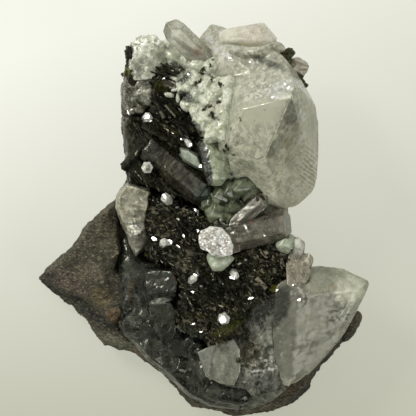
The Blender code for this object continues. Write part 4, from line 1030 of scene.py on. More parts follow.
def make_great_quartz():
    look = quartz(
        "great_quartz", (0.74, 0.735, 0.595), (0.44, 0.445, 0.355), clear=0.6, milk=0.6, depth=1.4,
        veil_scale=300.0, mottle=0.3, threads=0.45, specks=0.35, streaks=0.4, edge=0.2, haze=0.08,
        calm=[((264, 112), (26, 13), 14), ((310, 120), (8, 26), 8)],
        # The colours by facing direction are partly the faces' own looks and partly painted light and shade
        # for how each face is lit.
        faces=[
            ((-0.28, -0.19, 0.94), (0.13, 0.134, 0.098), 0.9), ((0.55, -0.47, 0.69), (0.50, 0.505, 0.4), 0.6),
            ((-0.40, 0.57, 0.72), (0.63, 0.63, 0.52), 0.8), ((0.92, -0.07, 0.38), (0.76, 0.765, 0.62), 0.5),
            ((-0.37, -0.07, 0.93), (0.66, 0.66, 0.53), 0.8),
        ],
        patches=[
            patch((226, 46), (30, 20), (1.0, 0.985, 0.84), turn=-20, strength=0.75, rough=0.25),
            patch((244, 72), (20, 12), (0.60, 0.61, 0.48), turn=10, strength=0.5, rough=0.25),
            # Painted highlights: the bright right end of the frosted band and the bright line under it.
            patch((280, 89), (16, 7), (1.0, 1.0, 0.92), turn=20, strength=0.9, rough=0.2, ragged=0.7),
            patch((281, 97.6), (11, 1.4), (1.0, 1.0, 0.95), turn=6, strength=0.9, soft=0.5, ragged=0.3),
            patch((252, 97), (14, 6), (0.72, 0.73, 0.62), turn=10, strength=0.6, rough=0.25, ragged=0.7),
            patch((252, 144), (14, 10), (0.50, 0.49, 0.38), strength=0.5, rough=0.25),
            patch((291, 114), (8, 17), (0.17, 0.175, 0.14), turn=-20, strength=0.8, rough=0.08, ragged=0.8),
            patch((300, 122), (5, 1.6), (0.66, 0.67, 0.57), turn=14, strength=0.6, soft=0.6, ragged=0.6),
            patch((276, 147), (6, 14), (0.17, 0.175, 0.13), turn=-30, strength=0.7, rough=0.1, ragged=0.8),
            # Painted glint and painted highlight streak on face B.
            patch((304, 117), (2.2, 4), (1.0, 1.0, 0.95), turn=-10, strength=1.0, soft=0.4, ragged=1.0),
            patch((299, 142), (1.6, 9), (1.0, 1.0, 0.95), turn=-32, strength=1.0, soft=0.4, ragged=0.9),
            patch((310, 140), (3, 26), (0.60, 0.61, 0.52), turn=-4, strength=0.5, ragged=1.0),
            patch((296, 166), (12, 5), (0.62, 0.62, 0.5), turn=30, strength=0.5, ragged=1.0),
            patch((262, 186), (8, 10), (0.30, 0.295, 0.225), strength=0.5, ragged=1.0),
            patch((283, 198), (8, 4), (0.34, 0.34, 0.26), strength=0.5, ragged=1.0),
            patch((285, 143), (4, 5), (0.42, 0.32, 0.18), strength=0.45),
            patch((268, 63.5), (20, 3.2), (0.10, 0.108, 0.09), turn=-22, strength=0.9, soft=0.6, ragged=0.5),
            patch((244, 167), (11, 7), (0.20, 0.21, 0.15), strength=0.75, rough=0.2),
            # Painted light: the lower body, turned away from the key lamp, is painted paler.
            patch((282, 184), (30, 18), (1.0, 0.99, 0.81), strength=0.75, ragged=0.8),
            patch((270, 176), (10, 12), (0.42, 0.40, 0.30), strength=0.5, ragged=0.8),
            patch((284, 205), (22, 3), (0.62, 0.62, 0.5), turn=12, strength=0.6),
            patch((257, 129), (3, 4.5), (0.13, 0.137, 0.105), strength=0.7, soft=0.9, ragged=1.0),
            patch((242, 142), (4.5, 4), (0.13, 0.137, 0.10), strength=0.7, soft=0.9, ragged=1.0),
            patch((256, 146), (4, 3), (0.13, 0.137, 0.10), strength=0.7, soft=0.9, ragged=1.0),
            patch((248, 153), (7, 2.5), (0.2, 0.205, 0.155), turn=-20, strength=0.5, soft=0.9, ragged=1.0),
            patch((234, 100), (5, 44), (0.62, 0.64, 0.50), turn=-4, strength=0.6, ragged=0.8),
            patch((283, 188), (7, 5), (0.26, 0.265, 0.21), turn=-30, strength=0.6, soft=0.9, ragged=1.0),
            patch((299, 178), (8, 4), (0.95, 0.94, 0.78), turn=20, strength=0.5, soft=0.9, ragged=1.0),
            patch((252, 138), (16, 16), (0.62, 0.61, 0.48), strength=0.5, soft=0.9, ragged=1.0),
            # Painted light: the right and lower right side, turned away from the key lamp, is painted paler.
            patch((300, 152), (9, 18), (0.98, 0.97, 0.8), strength=0.5, soft=0.6, ragged=0.9),
            patch((311, 166), (7, 28), (0.98, 0.97, 0.8), strength=0.4, soft=0.6, ragged=0.9),
            patch((298, 196), (11, 11), (0.98, 0.97, 0.8), strength=0.5, soft=0.6, ragged=0.9),
            patch((262, 184), (8, 8), (0.25, 0.245, 0.19), strength=0.5, soft=0.6, ragged=0.9),
        ],
        sparkles=[
            ((270, 90), (28, 9), 10, 0.5), ((236, 48), (34, 18), -20, 0.3), ((250, 72), (24, 14), 0, 0.25),
            ((290, 125), (14, 32), -24, 0.14), ((285, 180), (30, 26), 0, 0.08),
            ((246, 142), (16, 12), 0, 0.1),
        ],
        sparkle_scale=1700.0,
        ribs=((309, 169), (9, 18), 0, 128, 420.0),
    )
    mineral(
        "great_quartz", look, "clear_quartz", 0.2, swell=0.0, lump=(3.5, 0.25), grain=(1.0, 0.06),
        soft=[((254, 50), (32, 9), -4, 30), ((308, 128), (9, 52), -8, 40), ((290, 195), (34, 26), 0, 40),
              ((246, 60), (50, 26), -12, 10), ((262, 165), (18, 8), -20, 10), ((232, 122), (10, 34), 0, 20)],
        lumps=[((278, 48), 21.5, (1.7, 1.2, 2.0), -30), ((225, 50), 21, (3.0, 2.0, 2.5), 20),
               ((240, 51), 23.4, (3.0, 1.2, 2.0), -12), ((256, 52), 24.0, (3.2, 1.2, 1.8), 4),
               ((268, 49), 23.6, (2.2, 1.1, 1.8), 20)],
    )


def make_lower_quartz():
    milky = quartz(
        "milky_quartz", (0.52, 0.52, 0.43), (0.36, 0.363, 0.29), clear=0.5, depth=1.6, gloss=0.3,
        rough=(0.2, 0.4), veil_scale=170.0, mottle=0.16, threads=0.12, specks=0.08, streaks=0.15, edge=0.25,
        relief=0.02,
        faces=[((0.24, 0.66, 0.71), (0.46, 0.48, 0.36), 0.6)],
        patches=[
            patch((350, 289), (16, 14), (0.88, 0.89, 0.74), strength=0.8, ragged=0.6),
            patch((341, 316), (8, 11), (0.17, 0.18, 0.14), turn=-20, strength=0.65, ragged=0.8),
            patch((333, 287), (5, 3), (0.42, 0.32, 0.2), strength=0.45),
            patch((300, 293), (9, 8), (0.36, 0.33, 0.31), strength=0.6),
            patch((286, 326), (8, 30), (0.20, 0.205, 0.165), turn=4, strength=0.6, soft=0.6, ragged=0.6),
            patch((278, 307), (10, 25), (0.045, 0.049, 0.038), turn=-22, strength=0.9, soft=0.25, ragged=0.4),
            patch((275, 350), (6, 28), (0.14, 0.143, 0.115), turn=6, strength=0.65, soft=0.6, ragged=0.9),
            patch((290, 368), (10, 12), (0.30, 0.305, 0.25), strength=0.6, ragged=0.6),
            patch((296, 362), (13, 15), (0.36, 0.36, 0.29), strength=0.5),
            patch((310, 330), (3, 26), (0.40, 0.36, 0.27), turn=5, strength=0.4, soft=0.6),
            patch((352, 305), (1, 17), (0.85, 0.86, 0.76), turn=-30, strength=0.7, soft=0.5),
            patch((347, 306), (0.7, 15), (0.8, 0.81, 0.7), turn=-36, strength=0.5, soft=0.5),
        ],
        sparkles=[((300, 293), (9, 9), 0, 0.6), ((340, 312), (14, 16), 0, 0.2)],
    )
    mineral(
        "milky_quartz", milky, "milky_quartz", 0.18, lump=(4.0, 0.4), grain=(1.0, 0.06),
        soft=[((293, 335), (18, 54), 4, 150), ((305, 290), (18, 14), 0, 40), ((332, 286), (34, 9), -8, 30)],
    )
    low = quartz(
        "low_middle_quartz", (0.36, 0.365, 0.30), (0.035, 0.037, 0.027), clear=0.55, milk=0.3, depth=0.8,
        gloss=0.3, rough=(0.1, 0.35), veil_scale=300.0, stretch=(1.0, 2.0, 1.0), turn=-20, mottle=0.6,
        threads=0.55, specks=0.3, streaks=0.5, edge=0.8, relief=0.06, thread_colour=(0.5, 0.51, 0.44),
        patches=[
            patch((270, 308), (17, 18), (0.024, 0.026, 0.02), strength=0.9, rough=0.15, ragged=0.6),
            patch((250, 353), (12, 14), (0.22, 0.18, 0.10), strength=0.7, rough=0.3, ragged=0.8),
            patch((247, 336), (8, 10), (0.04, 0.04, 0.028), strength=0.6, ragged=0.8),
            patch((263, 366), (20, 8), (0.36, 0.36, 0.3), turn=10, strength=0.45, ragged=0.9),
            patch((262, 361), (14, 1.2), (0.8, 0.8, 0.72), turn=9, strength=0.8, soft=0.5, ragged=0.9),
            patch((266, 370), (16, 1.0), (0.8, 0.8, 0.72), turn=6, strength=0.8, soft=0.5, ragged=0.9),
            patch((258, 375), (12, 1.0), (0.7, 0.7, 0.62), turn=10, strength=0.8, soft=0.5, ragged=0.9),
            patch((266, 336), (5, 22), (0.38, 0.385, 0.32), turn=-14, strength=0.5, ragged=0.9),
            patch((250, 395), (20, 9), (0.08, 0.085, 0.065), turn=10, strength=0.6),
            patch((247, 384), (9, 12), (0.58, 0.58, 0.48), strength=0.7, ragged=0.9),
        ],
        sparkles=[((262, 366), (24, 9), 8, 0.8), ((262, 340), (20, 16), 0, 0.3)],
        sparkle_scale=1900.0,
    )
    mineral("low_middle_quartz", low, "clear_quartz", 0.18, swell=0.2, lump=(2.6, 0.5), grain=(0.8, 0.2))
    low_left = quartz(
        "low_left_quartz", (0.072, 0.077, 0.058), (0.008, 0.0088, 0.006), clear=0.55, milk=0.3, depth=0.8,
        gloss=0.12, rough=(0.1, 0.3), veil_scale=280.0, mottle=0.45, threads=0.4, specks=0.1, streaks=0.05,
        edge=0.8, thread_colour=(0.19, 0.2, 0.16), haze=0.03,
        calm=[((162, 283), (16, 12), 0), ((164, 317), (10, 14), 8), ((178, 342), (10, 8), -30)],
        faces=[((-0.24, 0.15, 0.96), (0.024, 0.027, 0.021), 0.6)],
        patches=[
            patch((161, 283), (17, 13), (0.022, 0.025, 0.019), strength=0.7, rough=0.2),
            # Painted highlight along the block's bright lower edge.
            patch((160, 301), (9, 2.6), (0.62, 0.63, 0.55), turn=8, strength=0.85),
            patch((127, 268), (5, 16), (0.10, 0.118, 0.08), strength=0.6, ragged=0.9),
            patch((140, 305), (1.6, 16), (0.2, 0.21, 0.17), turn=24, strength=0.5, soft=0.6, ragged=0.9),
            patch((154, 322), (1.2, 11), (0.3, 0.31, 0.255), turn=22, strength=0.55, soft=0.6, ragged=0.7),
            patch((186, 336), (14, 4), (0.026, 0.036, 0.034), turn=-30, strength=0.7, ragged=0.8),
            patch((126, 247), (6, 8), (0.012, 0.013, 0.009), strength=0.7, ragged=0.8),
            patch((136, 262), (4, 10), (0.015, 0.016, 0.011), turn=30, strength=0.6, ragged=0.8),
            patch((150, 318), (4, 12), (0.012, 0.013, 0.01), turn=20, strength=0.7, ragged=0.8),
            patch((147, 330), (16, 5), (0.02, 0.02, 0.014), turn=-30, strength=0.6, ragged=0.8),
            patch((176, 345), (14, 7), (0.02, 0.022, 0.016), turn=-40, strength=0.6, ragged=0.8),
            patch((137, 316), (10, 10), (0.22, 0.23, 0.19), strength=0.5, ragged=0.8),
            patch((170, 315), (5, 12), (0.06, 0.06, 0.047), strength=0.6),
            patch((131, 290), (2, 12), (0.16, 0.09, 0.04), turn=-15, strength=0.5),
            patch((205, 366), (6, 16), (0.15, 0.155, 0.125), turn=-18, strength=0.5),
        ],
        sparkles=[((160, 298), (12, 6), 8, 0.5), ((137, 316), (12, 12), 0, 0.3)],
    )
    mineral(
        "low_left_quartz", low_left, "smoky_quartz", 0.2, lump=(3.0, 0.2), chip=(1.5, 0.16),
        grain=(0.7, 0.05),
        soft=[((129, 274), (13, 36), 0, 25), ((200, 365), (20, 34), 0, 20), ((225, 394), (28, 12), 0, 20)],
        lumps=[
            ((129, 251), 9.6, (1.9, 3.2, 2.2), 14), ((131, 264), 10.8, (2.8, 3.0, 2.3), 40),
            ((128, 276), 10.4, (2.4, 3.6, 2.5), -14), ((132, 290), 10.8, (2.6, 2.6, 2.2), 10),
            ((129, 302), 10.6, (2.0, 3.2, 2.5), -20),
            ((191, 341), 11.0, (2.6, 2.0, 3.0), 30), ((200, 352), 12.0, (2.0, 2.6, 3.4), 20),
            ((205, 372), 12.0, (2.2, 3.2, 3.2), 20), ((214, 389), 11.6, (3.2, 2.4, 2.6), -30),
            ((226, 394), 12.0, (3.0, 2.0, 2.4), -10), ((238, 396), 12.0, (3.0, 2.0, 2.4), 0),
        ],
    )
    pale = quartz(
        "pale_quartz", (0.46, 0.465, 0.385), (0.30, 0.305, 0.245), clear=0.5, depth=2.5, veil_scale=260.0,
        mottle=0.22, threads=0.3, specks=0.08, streaks=0.35, edge=0.3,
        faces=[((-0.40, -0.22, 0.89), (0.17, 0.175, 0.14), 0.8)],
        sparkles=[((222, 362), (16, 22), 0, 0.12)],
    )
    mineral(
        "pale_quartz", pale, "milky_quartz", 0.13, lump=(2.5, 0.12), grain=(0.8, 0.04),
        soft=[((226, 366), (22, 28), 0, 14)],
    )


def make_left_quartz():
    vein = quartz(
        "vein_quartz", (0.40, 0.38, 0.29), (0.19, 0.185, 0.135), clear=0.2, rough=(0.15, 0.4),
        veil_scale=300.0, mottle=0.3, threads=0.15, specks=0.2, streaks=0.3, edge=0.5, relief=0.06,
        patches=[
            patch((135, 206), (12, 1.6), (0.1, 0.095, 0.065), turn=-10, strength=0.6),
            patch((133, 216), (10, 1.4), (0.12, 0.11, 0.08), turn=-8, strength=0.5),
            patch((136, 233), (8, 13), (0.66, 0.66, 0.56), strength=0.7),
            patch((139, 252), (6, 7), (0.2, 0.21, 0.165), strength=0.7),
            patch((128, 205), (4, 14), (0.50, 0.48, 0.38), turn=10, strength=0.5),
        ],
        sparkles=[((135, 230), (9, 13), 0, 0.8)],
    )
    mineral(
        "left_quartz_vein", vein, "milky_quartz", 0.16, lump=(1.8, 0.3), chip=(1.1, 0.12), grain=(0.7, 0.15),
    )
    corner = quartz(
        "corner_quartz", (0.78, 0.79, 0.67), (0.48, 0.50, 0.40), clear=0.35, rough=(0.06, 0.3),
        veil_scale=300.0, mottle=0.3, threads=0.2, specks=0.4, streaks=0.3, edge=0.4, relief=0.05,
        patches=[
            patch((180, 56), (18, 8), (0.54, 0.58, 0.43), strength=0.6),
            patch((160, 54), (9, 9), (0.36, 0.38, 0.28), strength=0.6),
            patch((142, 62), (9, 6), (0.2, 0.21, 0.15), strength=0.7),
            patch((136, 72), (7, 6), (0.12, 0.12, 0.09), strength=0.7),
            patch((175, 69), (9, 7), (0.015, 0.016, 0.01), strength=0.95, soft=0.3, ragged=0.5),
        ],
        sparkles=[((146, 46), (16, 10), 0, 0.4)],
    )
    mineral(
        "corner_quartz", corner, "milky_quartz", 0.16, lump=(2.8, 0.3), chip=(1.2, 0.35), grain=(0.6, 0.1),
        lumps=[((176, 58), 17.5, (3.2, 1.4, 1.8), -25), ((190, 64), 19.0, (2.4, 1.4, 1.8), -30)],
    )
    edge = quartz(
        "left_edge_quartz", (0.21, 0.205, 0.162), (0.075, 0.073, 0.053), clear=0.25, rough=(0.1, 0.4),
        veil_scale=380.0, mottle=0.4, threads=0.2, specks=0.4, streaks=0.4, edge=0.5, relief=0.06,
        sparkle=0.3,
        patches=[
            patch((143, 98), (10, 9), (0.34, 0.35, 0.28), strength=0.6),
            patch((127, 88), (5, 18), (0.08, 0.072, 0.054), strength=0.8),
            patch((140, 80), (9, 8), (0.3, 0.29, 0.235), strength=0.4),
        ],
    )
    mineral(
        "left_edge_quartz", edge, "milky_quartz", 0.17, lump=(2.2, 0.5), chip=(1.2, 0.2), grain=(0.7, 0.2),
    )
    smoky = quartz(
        "smoky_crystal", (0.042, 0.04, 0.026), (0.008, 0.0085, 0.0055), clear=0.45, milk=0.2, depth=0.8,
        gloss=0.12, rough=(0.2, 0.4), veil_scale=420.0, stretch=(1, 3, 1), turn=-43, mottle=0.9, threads=0.4,
        specks=0.3, streaks=0.25, edge=1.5, relief=0.03,
        patches=[
            patch((203, 194), (9, 9), (0.04, 0.07, 0.065), strength=0.6, rough=0.1),
            patch((168, 168), (12, 9), (0.08, 0.06, 0.034), turn=-30, strength=0.5, ragged=0.8),
            patch((186, 178), (12, 3), (0.012, 0.012, 0.009), turn=-50, strength=0.6, ragged=0.7),
        ],
        thread_colour=(0.16, 0.14, 0.09),
    )
    mineral(
        "smoky_crystal", smoky, "smoky_quartz", 0.13, swell=0.1, lump=(2.4, 0.2),
        soft=[((152, 158), (16, 16), 0, 40)],
    )


def make_small_crystals():
    rose = quartz(
        "harlequin_quartz", (0.30, 0.275, 0.22), (0.12, 0.11, 0.083), clear=0.6, milk=0.6, depth=1.2,
        veil_scale=380.0, stretch=(1, 1.8, 1), turn=-72, mottle=0.25, threads=0.25, specks=0.2, streaks=0.12,
        edge=0.9,
        patches=[
            patch((240, 247), (7, 6), (0.27, 0.22, 0.145), strength=0.6),
            patch((246, 228), (1.4, 5), (0.8, 0.78, 0.7), turn=28, strength=0.85),
            patch((262, 212), (3, 9), (0.05, 0.05, 0.036), turn=-50, strength=0.6),
            # Painted shadow beside the small prism.
            patch((248, 207), (7, 10), (0.1, 0.095, 0.075), strength=0.6),
        ],
        sparkles=[((236, 232), (8, 10), 0, 0.5), ((262, 226), (24, 12), 0, 0.1)],
    )
    mineral("harlequin_crystals", rose, "red_flecked_quartz", 0.1, lump=(2.0, 0.14), grain=(0.6, 0.04))
    fan = quartz(
        "fan_quartz", (0.62, 0.575, 0.47), (0.30, 0.275, 0.21), clear=0.4, depth=1.5, veil_scale=450.0,
        stretch=(1, 3, 1), turn=25, mottle=0.3, threads=0.25, specks=0.15, streaks=0.3, edge=0.8,
        sparkle=0.2, patches=[patch((297, 246), (7, 8), (0.95, 0.95, 0.85), strength=0.8)],
    )
    mineral(
        "fan_crystals", fan, "red_flecked_quartz", 0.11, lump=(1.6, 0.2), grain=(0.6, 0.08),
        lumps=[((297, 243), 20.5, (0.9, 1.2, 0.9), 20)],
    )
    side = quartz(
        "side_quartz", (0.62, 0.56, 0.45), (0.36, 0.32, 0.24), clear=0.35, depth=1.5, veil_scale=420.0,
        mottle=0.3, threads=0.2, specks=0.3, streaks=0.2, edge=0.5,
    )
    mineral(
        "side_crystal", side, "red_flecked_quartz", 0.11, swell=0.0, lump=(1.6, 0.3), chip=(0.9, 0.1),
        grain=(0.6, 0.1),
    )
    pink = quartz(
        "pink_quartz", (0.84, 0.785, 0.685), (0.68, 0.635, 0.55), clear=0.4, depth=3.0, veil_scale=300.0,
        mottle=0.15, threads=0.1, specks=0.1, streaks=0.15, edge=0.4,
        faces=[((0.03, -0.87, 0.49), (1.0, 0.95, 0.8), 0.9)],
        patches=[patch((226, 40), (12, 12), (0.86, 0.84, 0.70), strength=0.8)],
    )
    mineral(
        "pink_crystal", pink, "red_flecked_quartz", 0.12, swell=0.05, lump=(2.5, 0.2), grain=(0.6, 0.05),
        soft=[((250, 47), (30, 7), -6, 40), ((226, 38), (10, 12), 0, 20)],
    )
    red = quartz(
        "red_flecked_quartz", (0.76, 0.76, 0.66), (0.46, 0.46, 0.38), clear=0.65, depth=2.0,
        rough=(0.02, 0.08), veil_scale=420.0, mottle=0.2, threads=0.2, specks=0.1, streaks=0.2, edge=0.5,
        relief=0.015,
        faces=[((-0.85, -0.21, 0.49), (0.28, 0.28, 0.235), 0.65)],
        patches=[
            patch((184, 45), (16, 2.4), (0.2, 0.2, 0.16), turn=-35, strength=0.6),
            patch((176, 34), (5, 4), (0.9, 0.91, 0.84), strength=0.6),
            patch((198, 52), (6, 5), (0.5, 0.33, 0.27), strength=0.5),
        ],
    )
    mineral("red_flecked_crystal", red, "red_flecked_quartz", 0.11, swell=0.05, lump=(2.0, 0.08))
    clear = quartz(
        "glint_quartz", (0.9, 0.9, 0.82), (0.6, 0.6, 0.52), clear=0.25, rough=(0.05, 0.15),
        veil_scale=900.0, mottle=0.3, threads=0.3, specks=0.1, sparkle=0.3,
        patches=[patch((148, 167.5), (2.6, 3.2), (0.16, 0.17, 0.13), strength=0.75, ragged=0.8)],
    )
    for node in ("ring_crystal", "glint_crystal_upper_left", "glint_crystal_blade", "glint_crystal_neck",
                 "glint_crystal_left", "glint_crystal_right", "glint_crystal_low", "glint_crystal_centre"):
        mineral(node, clear, "clear_quartz", 0.09, swell=0.02)
    frosted = quartz(
        "frosted_quartz", (0.94, 0.93, 0.88), (0.6, 0.56, 0.50), clear=0.15, depth=1.0, rough=(0.15, 0.35),
        veil_scale=700.0, mottle=0.3, threads=0.5, specks=0.1, streaks=0.4, relief=0.05, sparkle=0.8,
        sparkle_scale=2600.0,
    )
    mineral(
        "frosted_crystal", frosted, "milky_quartz", 0.1, lump=(1.4, 0.4), chip=(0.8, 0.12),
        grain=(0.45, 0.14),
        lumps=[((226, 247), 24.0, (1.3, 1.2, 1.2), 0), ((206, 236), 24.5, (1.3, 1.0, 1.0), 20)],
    )


# The light stands here, and so the small glints know which way to lean.
KEY_PLACE = Vector((-0.72, 0.62, 0.82))
HALF_WAY = (KEY_PLACE.normalized() + Vector((0, 0, 1))).normalized()

# Bright facets: (pixel, length and width in pixels, turn in degrees).
GLINTS = [
    ((164, 78), 4.5, 2.6, 30), ((188.5, 74.5), 4.5, 3, -30), ((172, 132), 6, 1.6, -45),
    ((181, 139), 4, 2, -50), ((190.4, 144.8), 5, 4, -50), ((200.4, 166.3), 4.5, 3.6, -60),
    ((147, 117), 6.5, 5.5, 20), ((150.5, 120.5), 4, 3, -40), ((128, 112.5), 5.5, 1.6, -70),
    ((164.8, 196.6), 7, 3.4, -55), ((176.3, 207.4), 6, 2.4, 0), ((195.5, 210), 5, 2.6, -40),
    ((154, 238.7), 7, 4.4, -35), ((168.7, 241.9), 8.5, 7, 0), ((177.6, 245.7), 7, 1.4, -35),
    ((183.7, 235.5), 5, 2, -70), ((197.4, 230.4), 6, 4.4, 40), ((194.8, 275), 5.5, 4, -30),
    ((200.8, 285.2), 4.5, 3.4, -50), ((192.3, 292), 4, 3, 20), ((232.4, 277.6), 8, 3.6, -15),
    ((238.8, 263.5), 4, 2, 30), ((244.6, 259.7), 5, 1.8, 10), ((254.8, 270), 2, 1.6, 0),
    ((250.3, 298), 7, 3, 10), ((222.9, 319.7), 10, 9, 60), ((214, 328.6), 4, 1.4, 0),
    ((192.9, 324), 5, 1.8, 10), ((200.6, 331.8), 4, 1.6, 0), ((277, 290), 5, 1.6, 30),
    ((298.8, 299.3), 4.5, 4, 20), ((264.3, 235.5), 2, 1.8, 0), ((293, 285.2), 2, 1.8, 0),
    ((229.9, 58.3), 3.4, 2, 0), ((250, 62), 2.6, 3, 20), ((219, 124.5), 4, 2, 50),
    ((288, 88.5), 4, 2.6, 50), ((284.6, 84.5), 3, 1.8, 30), ((272.6, 97.4), 4, 1.4, 10),
    ((245.8, 227.2), 6, 1.6, -60), ((244.5, 382), 4, 2, 20), ((304.6, 117.4), 4, 1.6, 70),
]


def landed(px, py):
    """Where a ray straight down at a pixel meets the specimen: (point, normal)."""
    graph = bpy.context.evaluated_depsgraph_get()
    found, point, normal, index, met, matrix = bpy.context.scene.ray_cast(
        graph, spot(px, py, 60), Vector((0, 0, -1)))
    return (point, normal) if found else (spot(px, py, 10), Vector((0, 0, 1)))


def flake(bm, point, normal, length, width, turn, thickness, luck, corners=6):
    """Adds a thin closed plate with an uneven outline, flat side along the normal."""
    along = Vector((math.cos(turn), math.sin(turn), 0))
    side = normal.cross(along).normalized()
    along = side.cross(normal).normalized()
    rings = [[], []]
    for i in range(corners):
        angle = 2 * math.pi * (i + 0.35 * luck.uniform(-1, 1)) / corners
        reach = luck.uniform(0.8, 1.1) * 0.5
        flat = along * (length * reach * math.cos(angle)) + side * (width * reach * math.sin(angle))
        rings[0].append(bm.verts.new(point + flat - normal * thickness))
        rings[1].append(bm.verts.new(point + flat * 0.92))
    bm.faces.new(list(reversed(rings[0])))
    bm.faces.new(rings[1])
    for i in range(corners):
        j = (i + 1) % corners
        bm.faces.new((rings[0][i], rings[0][j], rings[1][j], rings[1][i]))


def finished(bm, name, material, slot):
    bmesh.ops.recalc_face_normals(bm, faces=bm.faces[:])
    mesh = bpy.data.meshes.new(name)
    bm.to_mesh(mesh)
    bm.free()
    mesh.materials.append(material)
    return hand_over(link(mesh, name), slot)


def make_glints():
    """Small bright facets among the blades and on the quartz, which mirror the lamp."""
    luck = random.Random(5)
    bm = bmesh.new()
    for (px, py), length, width, turn in GLINTS:
        point, normal = landed(px, py)
        lean = Vector((luck.uniform(-1, 1), luck.uniform(-1, 1), 0)) * 0.015
        flake(
            bm, point + Vector((0, 0, 0.12 * MM)), (HALF_WAY + lean).normalized(), length * PIXEL,
            width * PIXEL, math.radians(turn), 0.35 * MM, luck,
        )
    shine = plain("glint_facet", (0.62, 0.62, 0.56), 0.07, 1.7)
    finished(bm, "glint_facets", shine, "clear_quartz")


# Red flecks: (pixel, size in pixels).
FLECKS = [
    ((168.7, 29.4), 1.5), ((171, 25.5), 1.3), ((183.2, 48.7), 1.8), ((186, 40), 1.0), ((179, 36), 0.8),
    ((196.6, 53.4), 1.6), ((199, 51), 1.2), ((195, 50.5), 0.9), ((201, 54.5), 0.9), ((198, 56), 1.0),
    ((252.7, 32.7), 1.6), ((261.6, 51.5), 1.4), ((245, 38), 0.8), ((257, 40), 0.8), ((240, 57), 0.8),
    ((251.3, 221.5), 2.4), ((253, 219.5), 1.4), ((249.5, 224), 1.1), ((279, 218), 1.3), ((262, 231), 0.8),
    ((205.8, 239), 1.3), ((214.5, 230.7), 1.1), ((224.7, 252), 1.5), ((209, 249), 1.2), ((218, 240), 0.9),
    ((203.5, 245), 0.9), ((226, 246), 1.0), ((174.6, 277.4), 1.5), ((295, 262), 0.8),
]


def make_flecks():
    """Hematite: red flecks that sit in the faces of the crystals."""
    luck = random.Random(9)
    bm = bmesh.new()
    for (px, py), size in FLECKS:
        point, normal = landed(px, py)
        flake(
            bm, point + normal * 0.05 * MM, normal, size * PIXEL, size * PIXEL * luck.uniform(0.6, 1.0),
            luck.uniform(0, 3), 0.2 * MM, luck, corners=7,
        )
    finished(bm, "red_flecks", plain("hematite", (0.42, 0.03, 0.03), 0.4), "red_flecked_quartz")


# Tufts of epidote on the paler minerals: (pixel, reach in pixels).
DARK_TUFTS = [
    ((210, 66), 2.6), ((201, 73), 3.4), ((200, 81), 3.4), ((196, 84), 2.6), ((204, 70), 2.4),
    ((220.5, 85), 2),
    ((212, 80), 1.6), ((218, 102.5), 2.6), ((209.6, 107), 3.4), ((204, 109), 2.6), ((211, 114), 3.4),
    ((213, 117), 2.2), ((230.5, 129), 1.3), ((226.5, 147), 3.2), ((224, 151), 2.2), ((234, 155.5), 1.6),
    ((232, 174), 1.6), ((259, 192), 2.6), ((262, 197), 2), ((257, 199), 2.2), ((213, 60), 1.6),
    ((219, 120), 1.2), ((240, 121), 1.2), ((176, 72), 4), ((170, 69), 3), ((182, 68), 3), ((193, 128), 3),
    ((225, 222), 2), ((218, 222), 3), ((239, 360), 3), ((252, 345), 4), ((246, 338), 4), ((256, 352), 3),
]
OLIVE_TUFTS = [
    ((122, 74), 2), ((127, 73), 2.6), ((131, 71), 2), ((226, 219), 1.8), ((278.7, 234.7), 1.8),
    ((220, 84), 1.4),
    ((214, 118.5), 1.6), ((140, 104), 2.4), ((134, 106), 2), ((129, 124), 2), ((282, 53), 2.4),
    ((160, 84), 2.4),
    ((164, 92), 1.4),
]


def make_tufts(name, places, material, seed):
    """Tufts of short blades that sit on the pale minerals."""
    luck = random.Random(seed)
    bm = bmesh.new()
    for (px, py), reach in places:
        point, normal = landed(px, py)
        size = reach * PIXEL
        flake(bm, point, normal, 2 * size, 1.5 * size, luck.uniform(0, 3), 0.3 * MM, luck, 7)
    bmesh.ops.recalc_face_normals(bm, faces=bm.faces[:])
    mesh = bpy.data.meshes.new(name)
    bm.to_mesh(mesh)
    bm.free()
    piece = link(mesh, name)
    grown_over(
        piece, material, seed, [(9.0, 0.9, 0.3, 0.9), (9.0, 0.6, 0.22, 1.2)], flow=(0.3, -0.3, 0.1), lift=0.5,
        facing=0.1,
    )
    hand_over(piece, "epidote")


def make_dressing():
    make_flecks()
    make_glints()
    tuft = epidote("tuft_epidote", (0.014, 0.015, 0.009), (0.09, 0.09, 0.02), beige=0.5)
    make_tufts("dark_tufts", DARK_TUFTS, tuft, 31)
    olive = epidote("olive_tuft_epidote", (0.04, 0.042, 0.010), (0.2, 0.19, 0.03), beige=0.2)
    make_tufts("olive_tufts", OLIVE_TUFTS, olive, 37)


make_basalt()
make_epidote()
make_small_epidote()
make_prehnite()
make_great_quartz()
make_lower_quartz()
make_left_quartz()
make_small_crystals()
make_dressing()


# The camera, the floor and the light


def make_camera():
    camera = bpy.data.cameras.new("camera")
    camera.sensor_width = SENSOR_WIDTH
    camera.lens = SENSOR_WIDTH * CAMERA_DISTANCE / (PICTURE_PIXELS * PIXEL)
    camera.clip_start = 0.1
    camera.clip_end = 20.0
    made = bpy.data.objects.new("camera", camera)
    bpy.context.scene.collection.objects.link(made)
    made.location = spot(*MIDDLE_PIXEL) + Vector((0, 0, MIDDLE_HEIGHT + CAMERA_DISTANCE))
    bpy.context.scene.camera = made


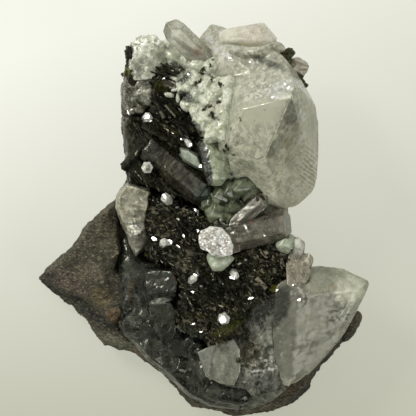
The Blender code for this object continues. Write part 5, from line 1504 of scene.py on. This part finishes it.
def make_floor():
    """A plain pale floor that glows a little, brighter towards the upper left of the picture."""
    bm = bmesh.new()
    bmesh.ops.create_grid(bm, x_segments=1, y_segments=1, size=3.0)
    mesh = bpy.data.meshes.new("floor")
    bm.to_mesh(mesh)
    bm.free()
    floor = link(mesh, "floor")
    floor.location.z = -0.05 * MM
    material, tree, shader, place = new_material("floor")
    parts = add(tree, "ShaderNodeSeparateXYZ", {0: place}).outputs
    twist = maths(tree, "MULTIPLY", between(tree, parts[0], -0.06, 0.06, -1.0, 1.0), between(
        tree, parts[1], -0.06, 0.06, -1.0, 1.0))
    along = vectors(tree, "DOT_PRODUCT", place, (0.26, -0.965, 0.0))
    along = maths(tree, "ADD", along, maths(tree, "MULTIPLY", twist, 0.015))
    ramp = add(
        tree, "ShaderNodeMapRange", {0: along, 1: -0.05, 2: 0.05, 3: 0.0, 4: 1.0}, clamp=True,
    ).outputs[0]
    glow = mixed(tree, colour(0.79, 0.80, 0.725), colour(0.36, 0.367, 0.28), ramp)
    join(
        tree, shader, Base_Color=colour(0.13, 0.13, 0.115), Roughness=0.9, Specular_IOR_Level=0.1,
        Emission_Color=glow, Emission_Strength=1.0,
    )
    floor.data.materials.append(material)


def make_lamp(name, place, size, radiance, tint=(1, 1, 1)):
    """A square soft lamp at a place, turned to the specimen, radiance in watts per area and angle."""
    lamp = bpy.data.lights.new(name, "AREA")
    lamp.shape = "SQUARE"
    lamp.size = size
    lamp.energy = radiance * math.pi * size * size
    lamp.color = tint
    made = bpy.data.objects.new(name, lamp)
    bpy.context.scene.collection.objects.link(made)
    made.location = place
    aim = Vector((0, 0, 0.015)) - Vector(place)
    made.rotation_euler = aim.to_track_quat("-Z", "Y").to_euler()
    made.visible_camera = False


def make_light():
    world = bpy.data.worlds.new("studio")
    bpy.context.scene.world = world
    world.use_nodes = True
    tree = world.node_tree
    way = add(tree, "ShaderNodeTexCoord").outputs["Generated"]
    along = vectors(tree, "DOT_PRODUCT", way, Vector((-0.45, 0.6, 0.66)).normalized())
    dome = mixed(
        tree, colour(0.125, 0.125, 0.105), colour(0.75, 0.75, 0.70), between(tree, along, -0.1, 1.0))
    tree.links.new(dome, tree.nodes["Background"].inputs["Color"])
    make_lamp("key", KEY_PLACE, 0.32, 30.0, (1.0, 0.995, 0.94))
    make_lamp("side", (0.75, -0.55, 0.65), 0.6, 4.5, (1.0, 1.0, 0.95))
    make_lamp("left", (-0.9, -0.3, 0.6), 0.5, 1.6)


make_camera()
make_floor()
make_light()

scene = bpy.context.scene
scene.view_settings.view_transform = "Standard"
scene.view_settings.look = "None"
